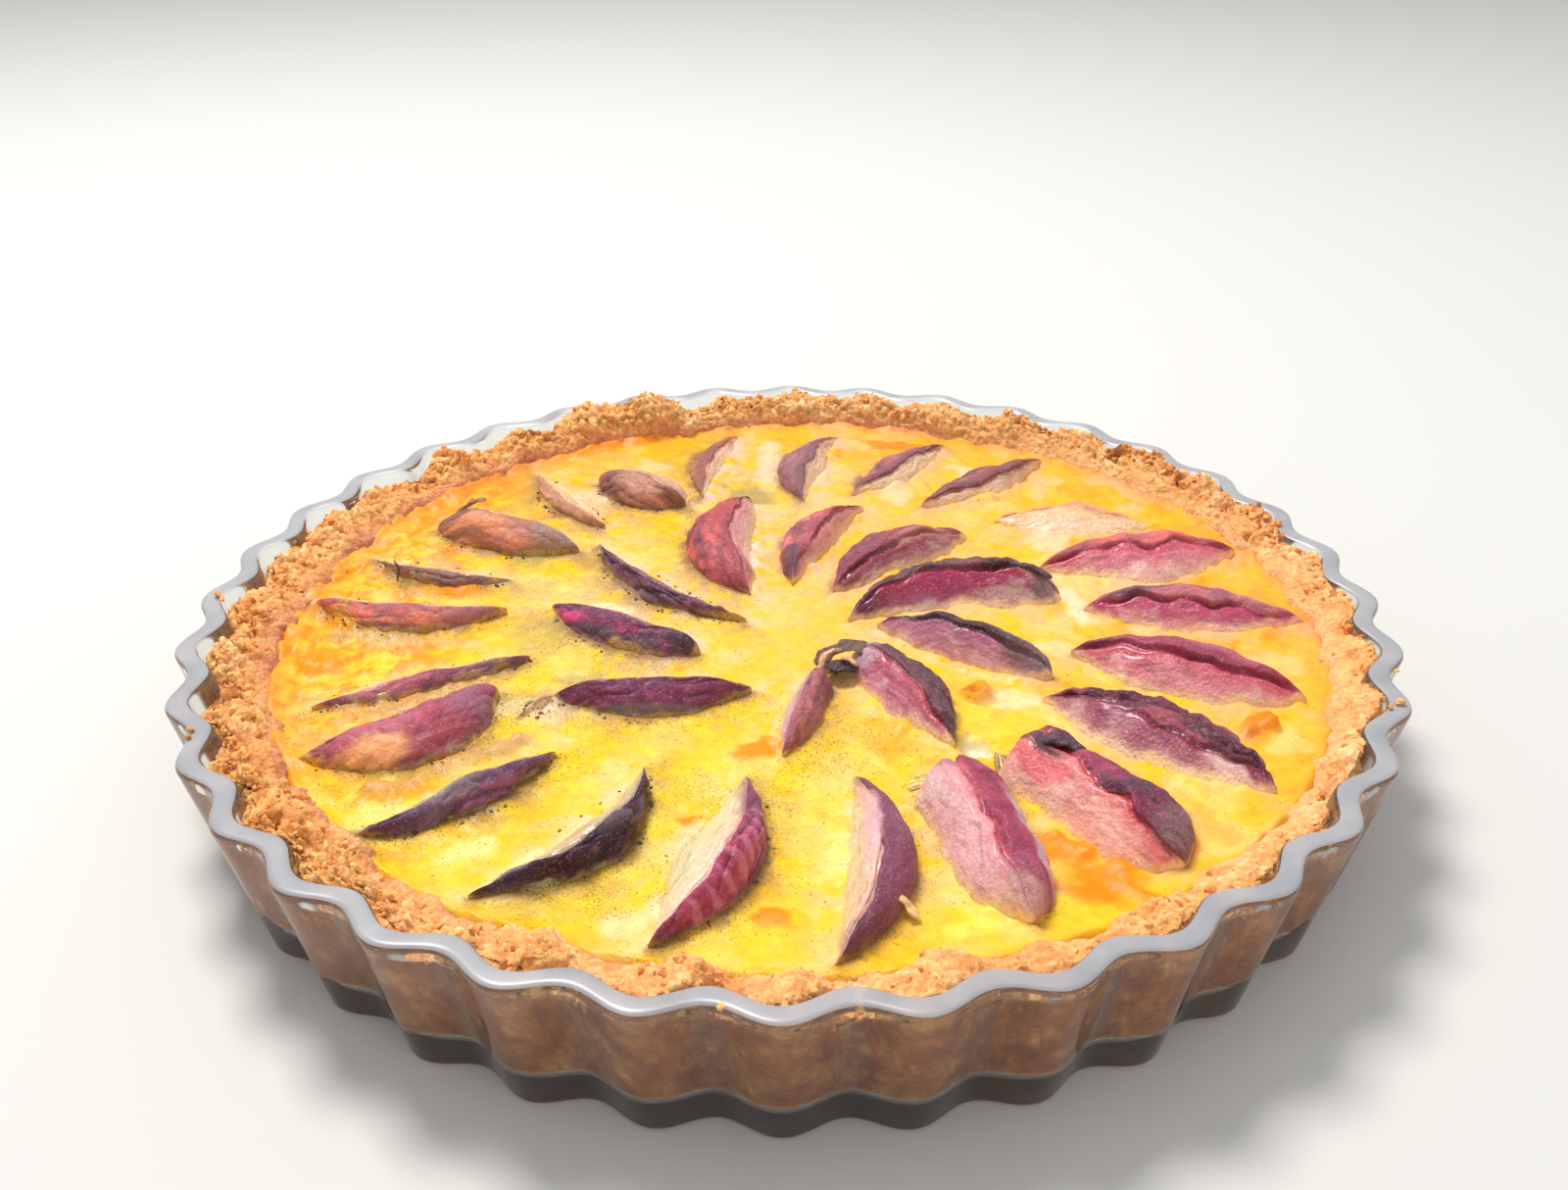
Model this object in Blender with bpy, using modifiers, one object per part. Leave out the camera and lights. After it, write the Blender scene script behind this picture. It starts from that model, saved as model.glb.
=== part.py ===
"""Peach tart baked in its fluted glass flan dish.

Metres, +Z up. The origin is the middle of the dish's flat underside, and the dish's
first flute crest points along +X. "Turn" is the angle round the tart from +X.
"""
import math
from collections import namedtuple

import bmesh
import bpy
from mathutils import Vector, noise

MM = 0.001
GAP = 0.3 * MM                  # clearance between pieces that touch
FULL_TURN = 2 * math.pi
MERGE = 0.01 * MM

# Glass flan dish: a pressed dish whose wall is one even wave, the same inside and out.
DISH_HEIGHT = 34.5 * MM
RIM_RADIUS = 140 * MM           # to a flute's crest, at the rim
FOOT_RADIUS = 132 * MM          # to a flute's crest, at the foot
FLUTES = 36
FLUTE_DEPTH = 4 * MM            # crest to trough
GLASS_WALL = 5.3 * MM
GLASS_FLOOR = 5 * MM
EDGE_BEVEL = 1.5 * MM           # at the rim's two edges and round the foot
COVE = 3 * MM                   # rounded corner between the dish's wall and floor
STEPS_PER_FLUTE = 4

# Shortcrust case: it lines the dish, then shrinks from the wall and crumbles at its top.
CRUST_FLOOR = 4 * MM
CRUST_BITE = 121.5 * MM         # inner radius where the filling meets it
CRUST_TOE = 113 * MM            # inner radius at the case's floor
CRUST_OFFSET = 3 * MM           # its inside lies this far off centre, towards +X
CRUST_HUG = 27 * MM             # height up to which it touches the glass
CRUST_CREST = 33.6 * MM
CRUST_SHRINK = 2.4 * MM         # how far its upper edge has drawn back from the glass
CRUST_TOP_WIDTH = 4 * MM        # across its crumbled top
CRUST_ROUND = 2.5 * MM          # rounding of the top's edges
CRUST_SAG = 1.8 * MM            # it stands this much lower at the front, higher at the back
CRUST_LOBES = 1.3 * MM          # it stands this much higher in a flute's crest than mid-wall
KNOBS = ((109, 3.6 * MM), (140, 1.8 * MM), (96, 1.2 * MM), (85, 1.6 * MM))   # (turn, rise)
KNOB_WIDTH = 3.5                # degrees from a knob's top to its shoulder
LUMP_SIZE = 13 * MM
LUMP_RELIEF = 2.6 * MM
CRUMB_SIZE = 6 * MM
CRUMB_RELIEF = 1.5 * MM
CRUMBLE_BACK = 0.35             # how far in the edge has crumbled, as a share of its relief

# Baked custard.
CUSTARD_LEVEL = 27 * MM
CUSTARD_LIP = 0.8 * MM          # it climbs this much where it meets the case
CUSTARD_SWELL = 0.7 * MM
SWELL_SIZE = 28 * MM
CUSTARD_STEPS = 72
CUSTARD_RINGS = (0, 22 * MM, 44 * MM, 64 * MM, 82 * MM, 98 * MM, 112 * MM)

# Peach slices: wedges that lie on one cut face, sunk in the custard, with the skin on the
# side that faces anticlockwise and the other cut face on the clockwise side.
SLICE_SINK = 3.5 * MM
TIP_LIFT = 1.5 * MM             # its tips curl up this much
TIP_FULLNESS = 0.75             # under 1 a slice stays full nearer its tips
SLICE_RINGS = 8
# A slice's cross-section, from its skin's foot over the ridge to its flesh's foot and back
# underneath. "Across" runs from the ridge (0) out to the foot (1) on that side, "up" from
# the custard's level (0) to the ridge (1), or down to the underside (-1).
SKIN_SIDE = ((1.0, 0.0), (0.93, 0.48), (0.62, 0.86))
FLESH_SIDE = ((0.55, 0.60), (0.85, 0.22), (1.0, 0.0))
UNDERSIDE = 0.38                # half the underside's width, as a share of the slice's

# Where each slice lies and how it was cut: turn in degrees and distance out from the middle
# in mm, twist from the radial direction in degrees, then length, width at the custard,
# height over it and bow towards the skin in mm, the ridge's place across (0 at the flesh's
# foot, 1 at the skin's), how square its inner and outer ends are (0 pointed), and its tint.
Slice = namedtuple("Slice", "turn out twist length width height bow ridge inner outer tint")
OUTER_RING = (
    Slice(277, 93, -12, 55, 14, 8, 6.5, 0.50, 0, 0, "mauve"),
    Slice(260, 91, -7, 53, 17, 8, 3.5, 0.70, 0, 0, "crimson"),
    Slice(242, 92, -7, 50, 13, 7, 8, 0.76, 0, 0, "plum"),
    Slice(227, 96, -8, 46, 11, 6, 2.5, 0.60, 0, 0, "plum"),
    Slice(209, 94, 7, 46, 19, 7, 7, 0.30, 0.4, 0, "rose"),
    Slice(199, 86, 7, 50, 8.5, 3.5, 0, 0.60, 0, 0, "rose"),
    Slice(176, 92, 0, 48, 13.5, 6, 6.5, 0.60, 0, 0.2, "coral"),
    Slice(164, 92, 0, 39, 8.5, 3.5, 3, 0.70, 0, 0, "rust"),
    Slice(150, 86, 12, 42, 16.5, 8, -1, 0.50, 0, 0.3, "coral"),
    Slice(132, 91, -7, 40, 9, 4, 2.5, 0.60, 0, 0, "coral"),
    Slice(120, 83, 30, 30, 19, 7, -2.5, 0.65, 0.3, 0.3, "rust"),
    Slice(102.5, 93, -23, 44, 10.5, 4, 4, 0.40, 0, 0, "rust"),
    Slice(84, 89, -7, 46, 15, 5, 6.5, 0.35, 0, 0, "rose"),
    Slice(70, 93, -20, 45, 13.5, 5, 1, 0.35, 0, 0, "rose"),
    Slice(55, 96, -16, 48, 13, 5, 0, 0.35, 0, 0, "rust"),
    Slice(34, 92, -41, 42, 18, 4, 2, 0.65, 0, 0, "cream"),
    Slice(19, 95, -9, 53, 19, 8, -2.5, 0.65, 0, 0, "pink"),
    Slice(1, 97, -8, 52, 15, 8, 0.5, 0.58, 0, 0, "pink"),
    Slice(344, 93, -7, 53, 17.5, 9, -1, 0.65, 0, 0, "pink"),
    Slice(326, 93, -5, 54, 15, 7, 3.5, 0.60, 0, 0.2, "plum"),
    Slice(309.5, 97, -3, 44, 21, 9, 2, 0.30, 0.7, 0.5, "coral"),
    Slice(294, 95.5, -9, 44, 19.5, 9, 0, 0.33, 0.9, 0.4, "pink"),
)
INNER_RING = (
    Slice(146, 36, -11, 57, 9.5, 5, 6, 0.70, 0, 0, "plum"),
    Slice(186, 39, -35, 43, 13.5, 6, 2, 0.50, 0.5, 0, "plum"),
    Slice(228, 44, -44, 44, 14.5, 7, 1.5, 0.55, 0, 0, "plum"),
    Slice(275, 41, -21, 31, 10, 6, 0, 0.43, 0.5, 0, "rose"),
    Slice(306, 43, -8, 43, 16, 8, 2, 0.45, 0.4, 0, "rose"),
    Slice(340, 43, -11, 45, 12, 8, 1.5, 0.40, 0, 0.5, "plum"),
    Slice(7, 41, 5, 54, 17.5, 9, 9.5, 0.50, 0, 0.5, "crimson"),
    Slice(45, 41, -5, 47, 14.5, 7, 7.5, 0.25, 0, 0.3, "rose"),
    Slice(75, 41.5, -9, 48, 13, 7, 5.5, 0.25, 0, 0, "rose"),
    Slice(104, 40.5, -13, 53, 18.5, 8, 8, 0.35, 0.2, 0.2, "crimson"),
)
SHRED = Slice(215, 66, -158, 9, 4, 2.5, 0, 0.50, 0, 0, "plum")

# Base colour, roughness and transmission of each finish.
FINISHES = {
    "glass": ((0.86, 0.90, 0.88, 1), 0.05, 1.0),
    "pastry": ((0.66, 0.36, 0.13, 1), 0.80, 0.0),
    "custard": ((0.93, 0.66, 0.13, 1), 0.35, 0.0),
    "plum": ((0.16, 0.04, 0.07, 1), 0.45, 0.0),
    "mauve": ((0.30, 0.11, 0.15, 1), 0.45, 0.0),
    "crimson": ((0.45, 0.06, 0.09, 1), 0.40, 0.0),
    "rose": ((0.48, 0.16, 0.18, 1), 0.42, 0.0),
    "pink": ((0.72, 0.30, 0.32, 1), 0.38, 0.0),
    "coral": ((0.72, 0.26, 0.17, 1), 0.38, 0.0),
    "rust": ((0.45, 0.20, 0.16, 1), 0.45, 0.0),
    "cream": ((0.85, 0.58, 0.38, 1), 0.40, 0.0),
}


def clear_scene():
    for old in list(bpy.data.objects):
        bpy.data.objects.remove(old, do_unlink=True)


def new_collection(name):
    made = bpy.data.collections.new(name)
    bpy.context.scene.collection.children.link(made)
    return made


def finish(name):
    colour, roughness, transmission = FINISHES[name]
    material = bpy.data.materials.get(name) or bpy.data.materials.new(name)
    material.use_nodes = True
    shader = material.node_tree.nodes["Principled BSDF"]
    shader.inputs["Base Color"].default_value = colour
    shader.inputs["Roughness"].default_value = roughness
    shader.inputs["Metallic"].default_value = 0.0
    shader.inputs["Transmission Weight"].default_value = transmission
    return material


def add_object(name, bm, material, collection):
    mesh = bpy.data.meshes.new(name)
    bm.to_mesh(mesh)
    bm.free()
    mesh.shade_smooth()
    mesh.set_sharp_from_angle(angle=math.radians(40))
    mesh.materials.append(finish(material))
    made = bpy.data.objects.new(name, mesh)
    collection.objects.link(made)
    return made


def turned(profile, steps):
    """A solid turned from (radius, height) points, from its top's middle to its bottom's."""
    outline = bpy.data.meshes.new("outline")
    outline.from_pydata([(radius, 0, height) for radius, height in profile],
                        [(n, n + 1) for n in range(len(profile) - 1)], [])
    turner = bpy.data.objects.new("outline", outline)
    bpy.context.scene.collection.objects.link(turner)
    screw = turner.modifiers.new("turn", 'SCREW')
    screw.steps = screw.render_steps = steps
    screw.use_merge_vertices = True
    screw.merge_threshold = MERGE
    bm = bmesh.new()
    bm.from_object(turner, bpy.context.evaluated_depsgraph_get())
    bpy.data.objects.remove(turner, do_unlink=True)
    bmesh.ops.remove_doubles(bm, verts=bm.verts, dist=MERGE)
    return bm


def turn_of(point):
    return math.atan2(point.y, point.x)


def flute_wave(turn):
    """How far a flute's wall lies inside its crest: 0 at a crest, 1 at a trough."""
    return (1 - math.cos(FLUTES * turn)) / 2


def move_out(vertex, distance):
    if vertex.co.xy.length > MERGE:
        vertex.co += Vector((vertex.co.x, vertex.co.y, 0)).normalized() * distance


# ---- glass dish ----------------------------------------------------------------------

def dish_radius(height):
    """Radius of the outer wall's crests at a height."""
    lean = (RIM_RADIUS - FOOT_RADIUS) / (DISH_HEIGHT - EDGE_BEVEL)
    return FOOT_RADIUS + lean * height


def glass_inside(height):
    return dish_radius(height) - GLASS_WALL


def dish_profile():
    shoulder = DISH_HEIGHT - EDGE_BEVEL
    cove_top = GLASS_FLOOR + COVE
    return (
        (0, GLASS_FLOOR),
        (glass_inside(GLASS_FLOOR) - COVE, GLASS_FLOOR),
        (glass_inside(cove_top), cove_top),
        (RIM_RADIUS - GLASS_WALL, shoulder),
        (RIM_RADIUS - GLASS_WALL + EDGE_BEVEL, DISH_HEIGHT),
        (RIM_RADIUS - EDGE_BEVEL, DISH_HEIGHT),
        (RIM_RADIUS, shoulder),
        (dish_radius(EDGE_BEVEL), EDGE_BEVEL),
        (FOOT_RADIUS - EDGE_BEVEL, 0),
        (0, 0),
    )


def make_dish(collection):
    bm = turned(dish_profile(), FLUTES * STEPS_PER_FLUTE)
    for vertex in bm.verts:
        move_out(vertex, -FLUTE_DEPTH * flute_wave(turn_of(vertex.co)))
    return add_object("glass_dish", bm, "glass", collection)


# ---- pastry case ---------------------------------------------------------------------

# A point of the case's section: how much of the flutes' wave it follows, and of the crags.
CrustPoint = namedtuple("CrustPoint", "radius height fluted cragged")


def crust_profile():
    underside = GLASS_FLOOR + GAP
    cove_top = GLASS_FLOOR + COVE
    shrunk = glass_inside(CRUST_CREST) - CRUST_SHRINK
    brow = shrunk - CRUST_ROUND
    return (
        CrustPoint(0, underside + CRUST_FLOOR, 0, 0),
        CrustPoint(CRUST_TOE, underside + CRUST_FLOOR, 0, 0),
        CrustPoint(CRUST_BITE, CUSTARD_LEVEL + CUSTARD_LIP, 0, 0),
        CrustPoint(CRUST_BITE + CUSTARD_LIP, CRUST_CREST - CRUST_ROUND, 0, 0.6),
        CrustPoint(brow - CRUST_TOP_WIDTH, CRUST_CREST, 0.3, 1),
        CrustPoint(brow, CRUST_CREST, 0.7, 1),
        CrustPoint(shrunk, CRUST_CREST - CRUST_ROUND, 0.9, 0.4),
        CrustPoint(glass_inside(CRUST_HUG) - GAP, CRUST_HUG, 1, 0),
        CrustPoint(glass_inside(cove_top) - GAP, cove_top + GAP, 1, 0),
        CrustPoint(glass_inside(GLASS_FLOOR) - COVE - GAP, underside, 1, 0),
        CrustPoint(0, underside, 1, 0),
    )


def crag(point):
    """Relief of the crumbled edge: broad lumps with smaller crumbs on them."""
    lumps = noise.noise(point / LUMP_SIZE)
    crumbs = noise.noise(point / CRUMB_SIZE + Vector((7, 3, 1)))
    return LUMP_RELIEF * lumps + CRUMB_RELIEF * crumbs


def crest_rise(turn):
    """How far the case's top stands over its mean: by side, by flute and by its knobs."""
    rise = CRUST_SAG * math.sin(turn) + CRUST_LOBES * (1 - 2 * flute_wave(turn))
    for knob, height in KNOBS:
        away = (math.degrees(turn) - knob) / KNOB_WIDTH
        rise += height * math.exp(-away ** 2)
    return rise


def make_crust(collection):
    profile = crust_profile()
    bm = turned([(point.radius, point.height) for point in profile],
                FLUTES * STEPS_PER_FLUTE)
    for vertex in bm.verts:
        here = Vector((vertex.co.xy.length, vertex.co.z))
        point = min(profile, key=lambda p: (Vector((p.radius, p.height)) - here).length)
        turn = turn_of(vertex.co)
        relief = point.cragged * crag(vertex.co)
        flute = point.fluted * FLUTE_DEPTH * flute_wave(turn)
        move_out(vertex, -flute - CRUMBLE_BACK * abs(relief))
        vertex.co.x += (1 - point.fluted) * CRUST_OFFSET
        vertex.co.z += relief + point.cragged * crest_rise(turn)
    return add_object("pastry_crust", bm, "pastry", collection)


# ---- peach slices --------------------------------------------------------------------

def slice_section(piece):
    """Points (across, up) round a slice's section, across from 0 at the flesh's foot."""
    ridge = piece.ridge
    skin = [(ridge + (1 - ridge) * out, up) for out, up in SKIN_SIDE]
    flesh = [(ridge - ridge * out, up) for out, up in FLESH_SIDE]
    underside = [(0.5 - UNDERSIDE, -1), (0.5 + UNDERSIDE, -1)]
    return skin + [(ridge, 1)] + flesh + underside


def taper(along, piece):
    """Share of the full section left at a place along the slice, from -1 to 1."""
    square = piece.outer if along > 0 else piece.inner
    return max(0.0, 1 - abs(along) ** (2 + 4 * square)) ** TIP_FULLNESS


def slice_bmesh(piece):
    """A sphere of rings drawn out into the slice, its poles at the slice's two tips."""
    section = slice_section(piece)
    bm = bmesh.new()
    bmesh.ops.create_uvsphere(bm, u_segments=len(section), v_segments=SLICE_RINGS, radius=1)
    for vertex in bm.verts:
        along = vertex.co.z
        around = math.atan2(vertex.co.y, vertex.co.x) / FULL_TURN * len(section)
        across, up = section[round(around) % len(section)]
        square = piece.outer if along > 0 else piece.inner
        along = math.copysign(abs(along) ** (1 / (1 + square)), along)
        size = taper(along, piece)
        depth = piece.height * MM if up > 0 else SLICE_SINK
        vertex.co = Vector((
            along * piece.length * MM / 2,
            (across - 0.5) * piece.width * MM * size + piece.bow * MM * (1 - along ** 2),
            up * depth * math.sqrt(size) + TIP_LIFT * along ** 4,
        ))
    return bm


def lay(made, piece):
    """Puts a slice, modelled along +X, in its place on the custard."""
    turn = math.radians(piece.turn)
    made.location = (piece.out * MM * math.cos(turn), piece.out * MM * math.sin(turn),
                     CUSTARD_LEVEL)
    made.rotation_euler = (0, 0, turn + math.radians(piece.twist))


def make_slices(collection, cutters):
    named = [("peach_slice_%02d" % number, piece)
             for number, piece in enumerate(OUTER_RING + INNER_RING, start=1)]
    named.append(("peach_shred", SHRED))
    for name, piece in named:
        lay(add_object(name, slice_bmesh(piece), piece.tint, collection), piece)
        grown = slice_bmesh(piece)
        grown.normal_update()
        for vertex in grown.verts:
            vertex.co += vertex.normal * GAP * vertex.calc_shell_factor()
        cutter = add_object(name + "_pocket", grown, piece.tint, cutters)
        cutter.hide_render = True
        cutter.display_type = 'WIRE'
        lay(cutter, piece)


# ---- custard -------------------------------------------------------------------------

def custard_profile():
    edge = CRUST_BITE - GAP
    bottom = GLASS_FLOOR + CRUST_FLOOR + 2 * GAP
    top = [(radius, CUSTARD_LEVEL) for radius in CUSTARD_RINGS]
    return top + [(edge, CUSTARD_LEVEL + CUSTARD_LIP), (CRUST_TOE - GAP, bottom), (0, bottom)]


def swell(point):
    """Low waves of the baked surface, none in the flat middle or at the edge."""
    radius = point.xy.length
    if not MERGE < radius < CUSTARD_RINGS[-1] + MERGE or point.z < CUSTARD_LEVEL - MERGE:
        return 0
    return CUSTARD_SWELL * min(1, radius / CUSTARD_RINGS[1] - 1) * noise.noise(point / SWELL_SIZE)


def make_custard(collection, cutters):
    bm = turned(custard_profile(), CUSTARD_STEPS)
    for vertex in bm.verts:
        vertex.co.z += swell(vertex.co)
    custard = add_object("custard", bm, "custard", collection)
    pockets = custard.modifiers.new("slice pockets", 'BOOLEAN')
    pockets.operation = 'DIFFERENCE'
    pockets.operand_type = 'COLLECTION'
    pockets.collection = cutters
    pockets.solver = 'EXACT'
    custard.location.x = CRUST_OFFSET
    return custard


clear_scene()
tart = new_collection("peach_tart")
pocket_cutters = new_collection("pocket_cutters")
make_dish(tart)
make_crust(tart)
make_slices(tart, pocket_cutters)
make_custard(tart, pocket_cutters)
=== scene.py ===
"""Looks of a peach tart baked and served in its fluted glass flan dish."""
from collections import namedtuple

import bpy
import numpy as np
from mathutils import Matrix, Vector


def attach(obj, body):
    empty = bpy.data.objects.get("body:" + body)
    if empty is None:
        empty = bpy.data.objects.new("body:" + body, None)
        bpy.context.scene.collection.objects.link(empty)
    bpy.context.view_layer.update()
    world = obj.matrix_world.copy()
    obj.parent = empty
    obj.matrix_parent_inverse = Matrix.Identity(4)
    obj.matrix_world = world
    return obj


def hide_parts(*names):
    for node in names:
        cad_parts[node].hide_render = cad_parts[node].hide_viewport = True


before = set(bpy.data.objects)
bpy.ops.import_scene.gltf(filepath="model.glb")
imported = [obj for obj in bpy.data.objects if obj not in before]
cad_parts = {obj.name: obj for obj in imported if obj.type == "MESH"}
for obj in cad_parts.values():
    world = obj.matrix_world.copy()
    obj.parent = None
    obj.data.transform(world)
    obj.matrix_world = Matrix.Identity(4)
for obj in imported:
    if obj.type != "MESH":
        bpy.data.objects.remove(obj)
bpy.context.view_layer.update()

bpy.context.scene.view_settings.view_transform = "Standard"


# ---- glass flan dish -----------------------------------------------------------------
# A pressed dish of clear glass, its wall one even wave inside and out and its rim melted
# round. It stands on its whole flat underside, and the tart was baked in it.

MM = 0.001
FLUTES = 36
FLUTE_DEPTH = 4.0               # crest to trough
RIM_RADIUS = 140.0              # to a flute's crest
FOOT_RADIUS = 132.0
DISH_HEIGHT = 34.5
GLASS_WALL = 5.3
GLASS_FLOOR = 5.0
DISH_COLUMNS = FLUTES * 24
FLUTES_FADE = (96, 122)         # radii between which they run out under the dish
# RIM_BAND is how far down from the top the rim is painted with a pale reflection.
RIM_BAND = 0.5                  # the top of the rim that gathers light


def srgb(code):
    """A colour written rrggbb as linear red, green and blue."""
    value = np.array([int(code[n:n + 2], 16) for n in (0, 2, 4)]) / 255
    return np.where(value < 0.04045, value / 12.92, ((value + 0.055) / 1.055) ** 2.4)


def ease(value, low, high):
    """0 up to low, 1 from high, and a smooth cubic between them."""
    share = np.clip((value - low) / (high - low), 0, 1)
    return share * share * (3 - 2 * share)


def all_round(columns):
    """That many directions in radians, evenly spaced anticlockwise from +X, as one row."""
    return np.linspace(0, 2 * np.pi, columns, endpoint=False)[None]


def flute_wave(turn):
    """How far a flute's wall lies inside its crest: half of one minus the flutes' cosine."""
    return (1 - np.cos(FLUTES * turn)) / 2


def rounded(corners, steps):
    """An outline of (radius, height, rounding, ...) corners, each cut by a parabola.

    The parabola starts and ends the corner's rounding away from it along its two sides;
    the columns after the rounding are carried along in the same proportion.
    """
    corners = np.array(corners, float)
    here = corners[1:-1]
    share = np.linspace(0, 1, steps)[None, :, None]
    sides = []
    for near in (corners[:-2], corners[2:]):
        length = np.linalg.norm((near - here)[:, :2], axis=1)
        sides.append(here + (near - here) * (here[:, 2] / length)[:, None])
    start, end = (side[:, None] for side in sides)
    curve = (1 - share) ** 2 * start + 2 * share * (1 - share) * here[:, None] + share ** 2 * end
    return np.concatenate([corners[:1], curve.reshape(-1, corners.shape[1]), corners[-1:]])


def turned(radius, height, columns):
    """Rows of a turned surface: each (radius, height) swept anticlockwise, in mm.

    radius and height may be (rows, 1), or (rows, columns) where the outline changes.
    """
    turn = all_round(columns)
    radius, height = np.broadcast_arrays(radius, height + 0 * turn)
    return np.stack([radius * np.cos(turn), radius * np.sin(turn), height], -1)


def with_poles(grid):
    """A (rows, columns, ...) grid as a list, with its first and last row's means at the end."""
    flat = grid.reshape(-1, *grid.shape[2:])
    return np.concatenate([flat, grid[:1].mean(1), grid[-1:].mean(1)])


def shell(grid):
    """Points and faces of a closed skin over wrapped rows, each end drawn to a pole."""
    rows, columns = grid.shape[:2]
    row, column = np.meshgrid(np.arange(rows - 1) * columns, np.arange(columns), indexing="ij")
    beside = (column + 1) % columns
    quads = np.stack([row + column, row + columns + column, row + columns + beside,
                      row + beside], -1).reshape(-1, 4)
    ring, after = column[0], beside[0]
    first = np.full(columns, rows * columns)
    last = (rows - 1) * columns
    caps = np.concatenate([np.stack([first, ring, after], -1),
                           np.stack([first + 1, last + after, last + ring], -1)])
    return with_poles(grid), quads.tolist() + caps.tolist()


def closed_shell(name, grid):
    """The closed skin over those rows of points in mm, as a piece."""
    return piece(name, *shell(grid))


def piece(name, points, faces):
    """A smooth-shaded mesh object at the origin from points in mm."""
    mesh = bpy.data.meshes.new(name)
    mesh.from_pydata((points * MM).tolist(), [], faces)
    mesh.shade_smooth()
    made = bpy.data.objects.new(name, mesh)
    bpy.context.scene.collection.objects.link(made)
    return made


def plug(made, inputs):
    """Sets each of a node's inputs to a plain value, or links the socket that feeds it."""
    for key, value in inputs.items():
        if isinstance(value, bpy.types.NodeSocket):
            made.id_data.links.new(value, made.inputs[key])
        else:
            made.inputs[key].default_value = value


def node(tree, kind, inputs, **settings):
    """A new node of that kind, with its settings and its inputs."""
    made = tree.nodes.new(kind)
    for key, value in settings.items():
        setattr(made, key, value)
    plug(made, inputs)
    return made


def rgba(code):
    """A colour written rrggbb as a shader's socket takes it."""
    return (*srgb(code), 1)


def finish(name, colour, roughness):
    """A new material and its shader, with one colour and roughness to start from."""
    material = bpy.data.materials.new(name)
    material.use_nodes = True
    shader = material.node_tree.nodes["Principled BSDF"]
    plug(shader, {"Base Color": rgba(colour), "Roughness": roughness})
    return material, shader


def on_object(tree):
    """Where each point of the surface lies on the object."""
    return node(tree, "ShaderNodeTexCoord", {}).outputs["Object"]


def clouds(tree, scale, detail):
    """Soft noise from 0 to 1, with about that many clouds to a metre."""
    return node(tree, "ShaderNodeTexNoise", {"Vector": on_object(tree), "Scale": scale,
                                             "Detail": detail}).outputs["Fac"]


def mixed(tree, share, first, second):
    """A colour between the first, where share is 0, and the second, where it is 1."""
    return node(tree, "ShaderNodeMix", {0: share, 6: first, 7: second},
                data_type="RGBA").outputs[2]


def stretched(tree, value, inputs):
    """A value carried from one range to another, as the Map Range inputs say."""
    return node(tree, "ShaderNodeMapRange", {"Value": value, **inputs}).outputs["Result"]


def place(made, material, slot, *replaced):
    """Gives a piece its material and the solids it stands for, hiding those; slot is not used."""
    made.data.materials.append(material)
    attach(made, "root")
    if replaced:
        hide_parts(*replaced)


def glass_outside(height):
    """Radius of the outer wall's crests: a straight lean from the foot out to the rim."""
    return FOOT_RADIUS + (RIM_RADIUS - FOOT_RADIUS) * height / DISH_HEIGHT


def glass_inside(height):
    """Radius of the inner wall's crests: the outer wall's less the glass."""
    return glass_outside(height) - GLASS_WALL


dish_outline = rounded((
    (40, GLASS_FLOOR, 0), (100, GLASS_FLOOR, 4),
    (glass_inside(GLASS_FLOOR) - 0.6, GLASS_FLOOR, 3.6), (glass_inside(20), 20, 4),
    (glass_inside(DISH_HEIGHT), DISH_HEIGHT, 1.7), (RIM_RADIUS, DISH_HEIGHT, 1.9),
    (glass_outside(15), 15, 4), (FOOT_RADIUS, 0, 1.6), (100, 0, 4), (40, 0, 0)), 7)
dish_wave = FLUTE_DEPTH * ease(dish_outline[:, :1], *FLUTES_FADE)
dish_radius = dish_outline[:, :1] - dish_wave * flute_wave(all_round(DISH_COLUMNS))
dish = closed_shell("flan_dish", turned(dish_radius, dish_outline[:, 1:2], DISH_COLUMNS))
glass, shader = finish("clear pressed glass", "eef3f2", 0.05)
smears = stretched(glass.node_tree, clouds(glass.node_tree, 60.0, 3.0),
                   {"From Min": 0.45, "From Max": 0.75, "To Min": 0.04, "To Max": 0.16})
plug(shader, {"Transmission Weight": 0.97, "IOR": 1.5, "Roughness": smears})
place(dish, glass, "glass", "glass_dish")
# The melted rim's top is painted a pale grey band in lighter and darker clouds: a painted
# reflection of the sky in the glass.
rim_glass, shader = finish("rim of pressed glass", "ccd0d4", 0.32)
rim_reflection = mixed(rim_glass.node_tree, clouds(rim_glass.node_tree, 90.0, 4.0), rgba("a8aeba"),
             rgba("eceef2"))
plug(shader, {"Transmission Weight": 0.5, "IOR": 1.5, "Base Color": rim_reflection})
dish.data.materials.append(rim_glass)
heights = np.repeat((dish_outline[1:, 1] + dish_outline[:-1, 1]) / 2, DISH_COLUMNS)
on_rim = np.zeros(len(dish.data.polygons), np.int32)
on_rim[:len(heights)] = heights > DISH_HEIGHT - RIM_BAND
dish.data.polygons.foreach_set("material_index", on_rim)


# ---- pastry case ---------------------------------------------------------------------
# Shortcrust pressed into the dish by hand and baked golden: it fills the flutes up the
# wall, and its top is a wall of crumbs, cracked at the flutes and drawn back from the glass.

CRUST_COLUMNS = 1440
CRUST_ROWS = 68
CRUST_OFFSET = 3.0              # its inside lies this far off centre, towards +X
CRUST_CREST = 33.6
CREST_RADIUS = 127
CRUMB_ROOM = 1.0                # kept free below the solid case's top for its crumbs
INTO_GLASS = 0.15               # it is pressed hard against the glass
CASE_STEPS = 144                # places round where the solid case's height is read
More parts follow.
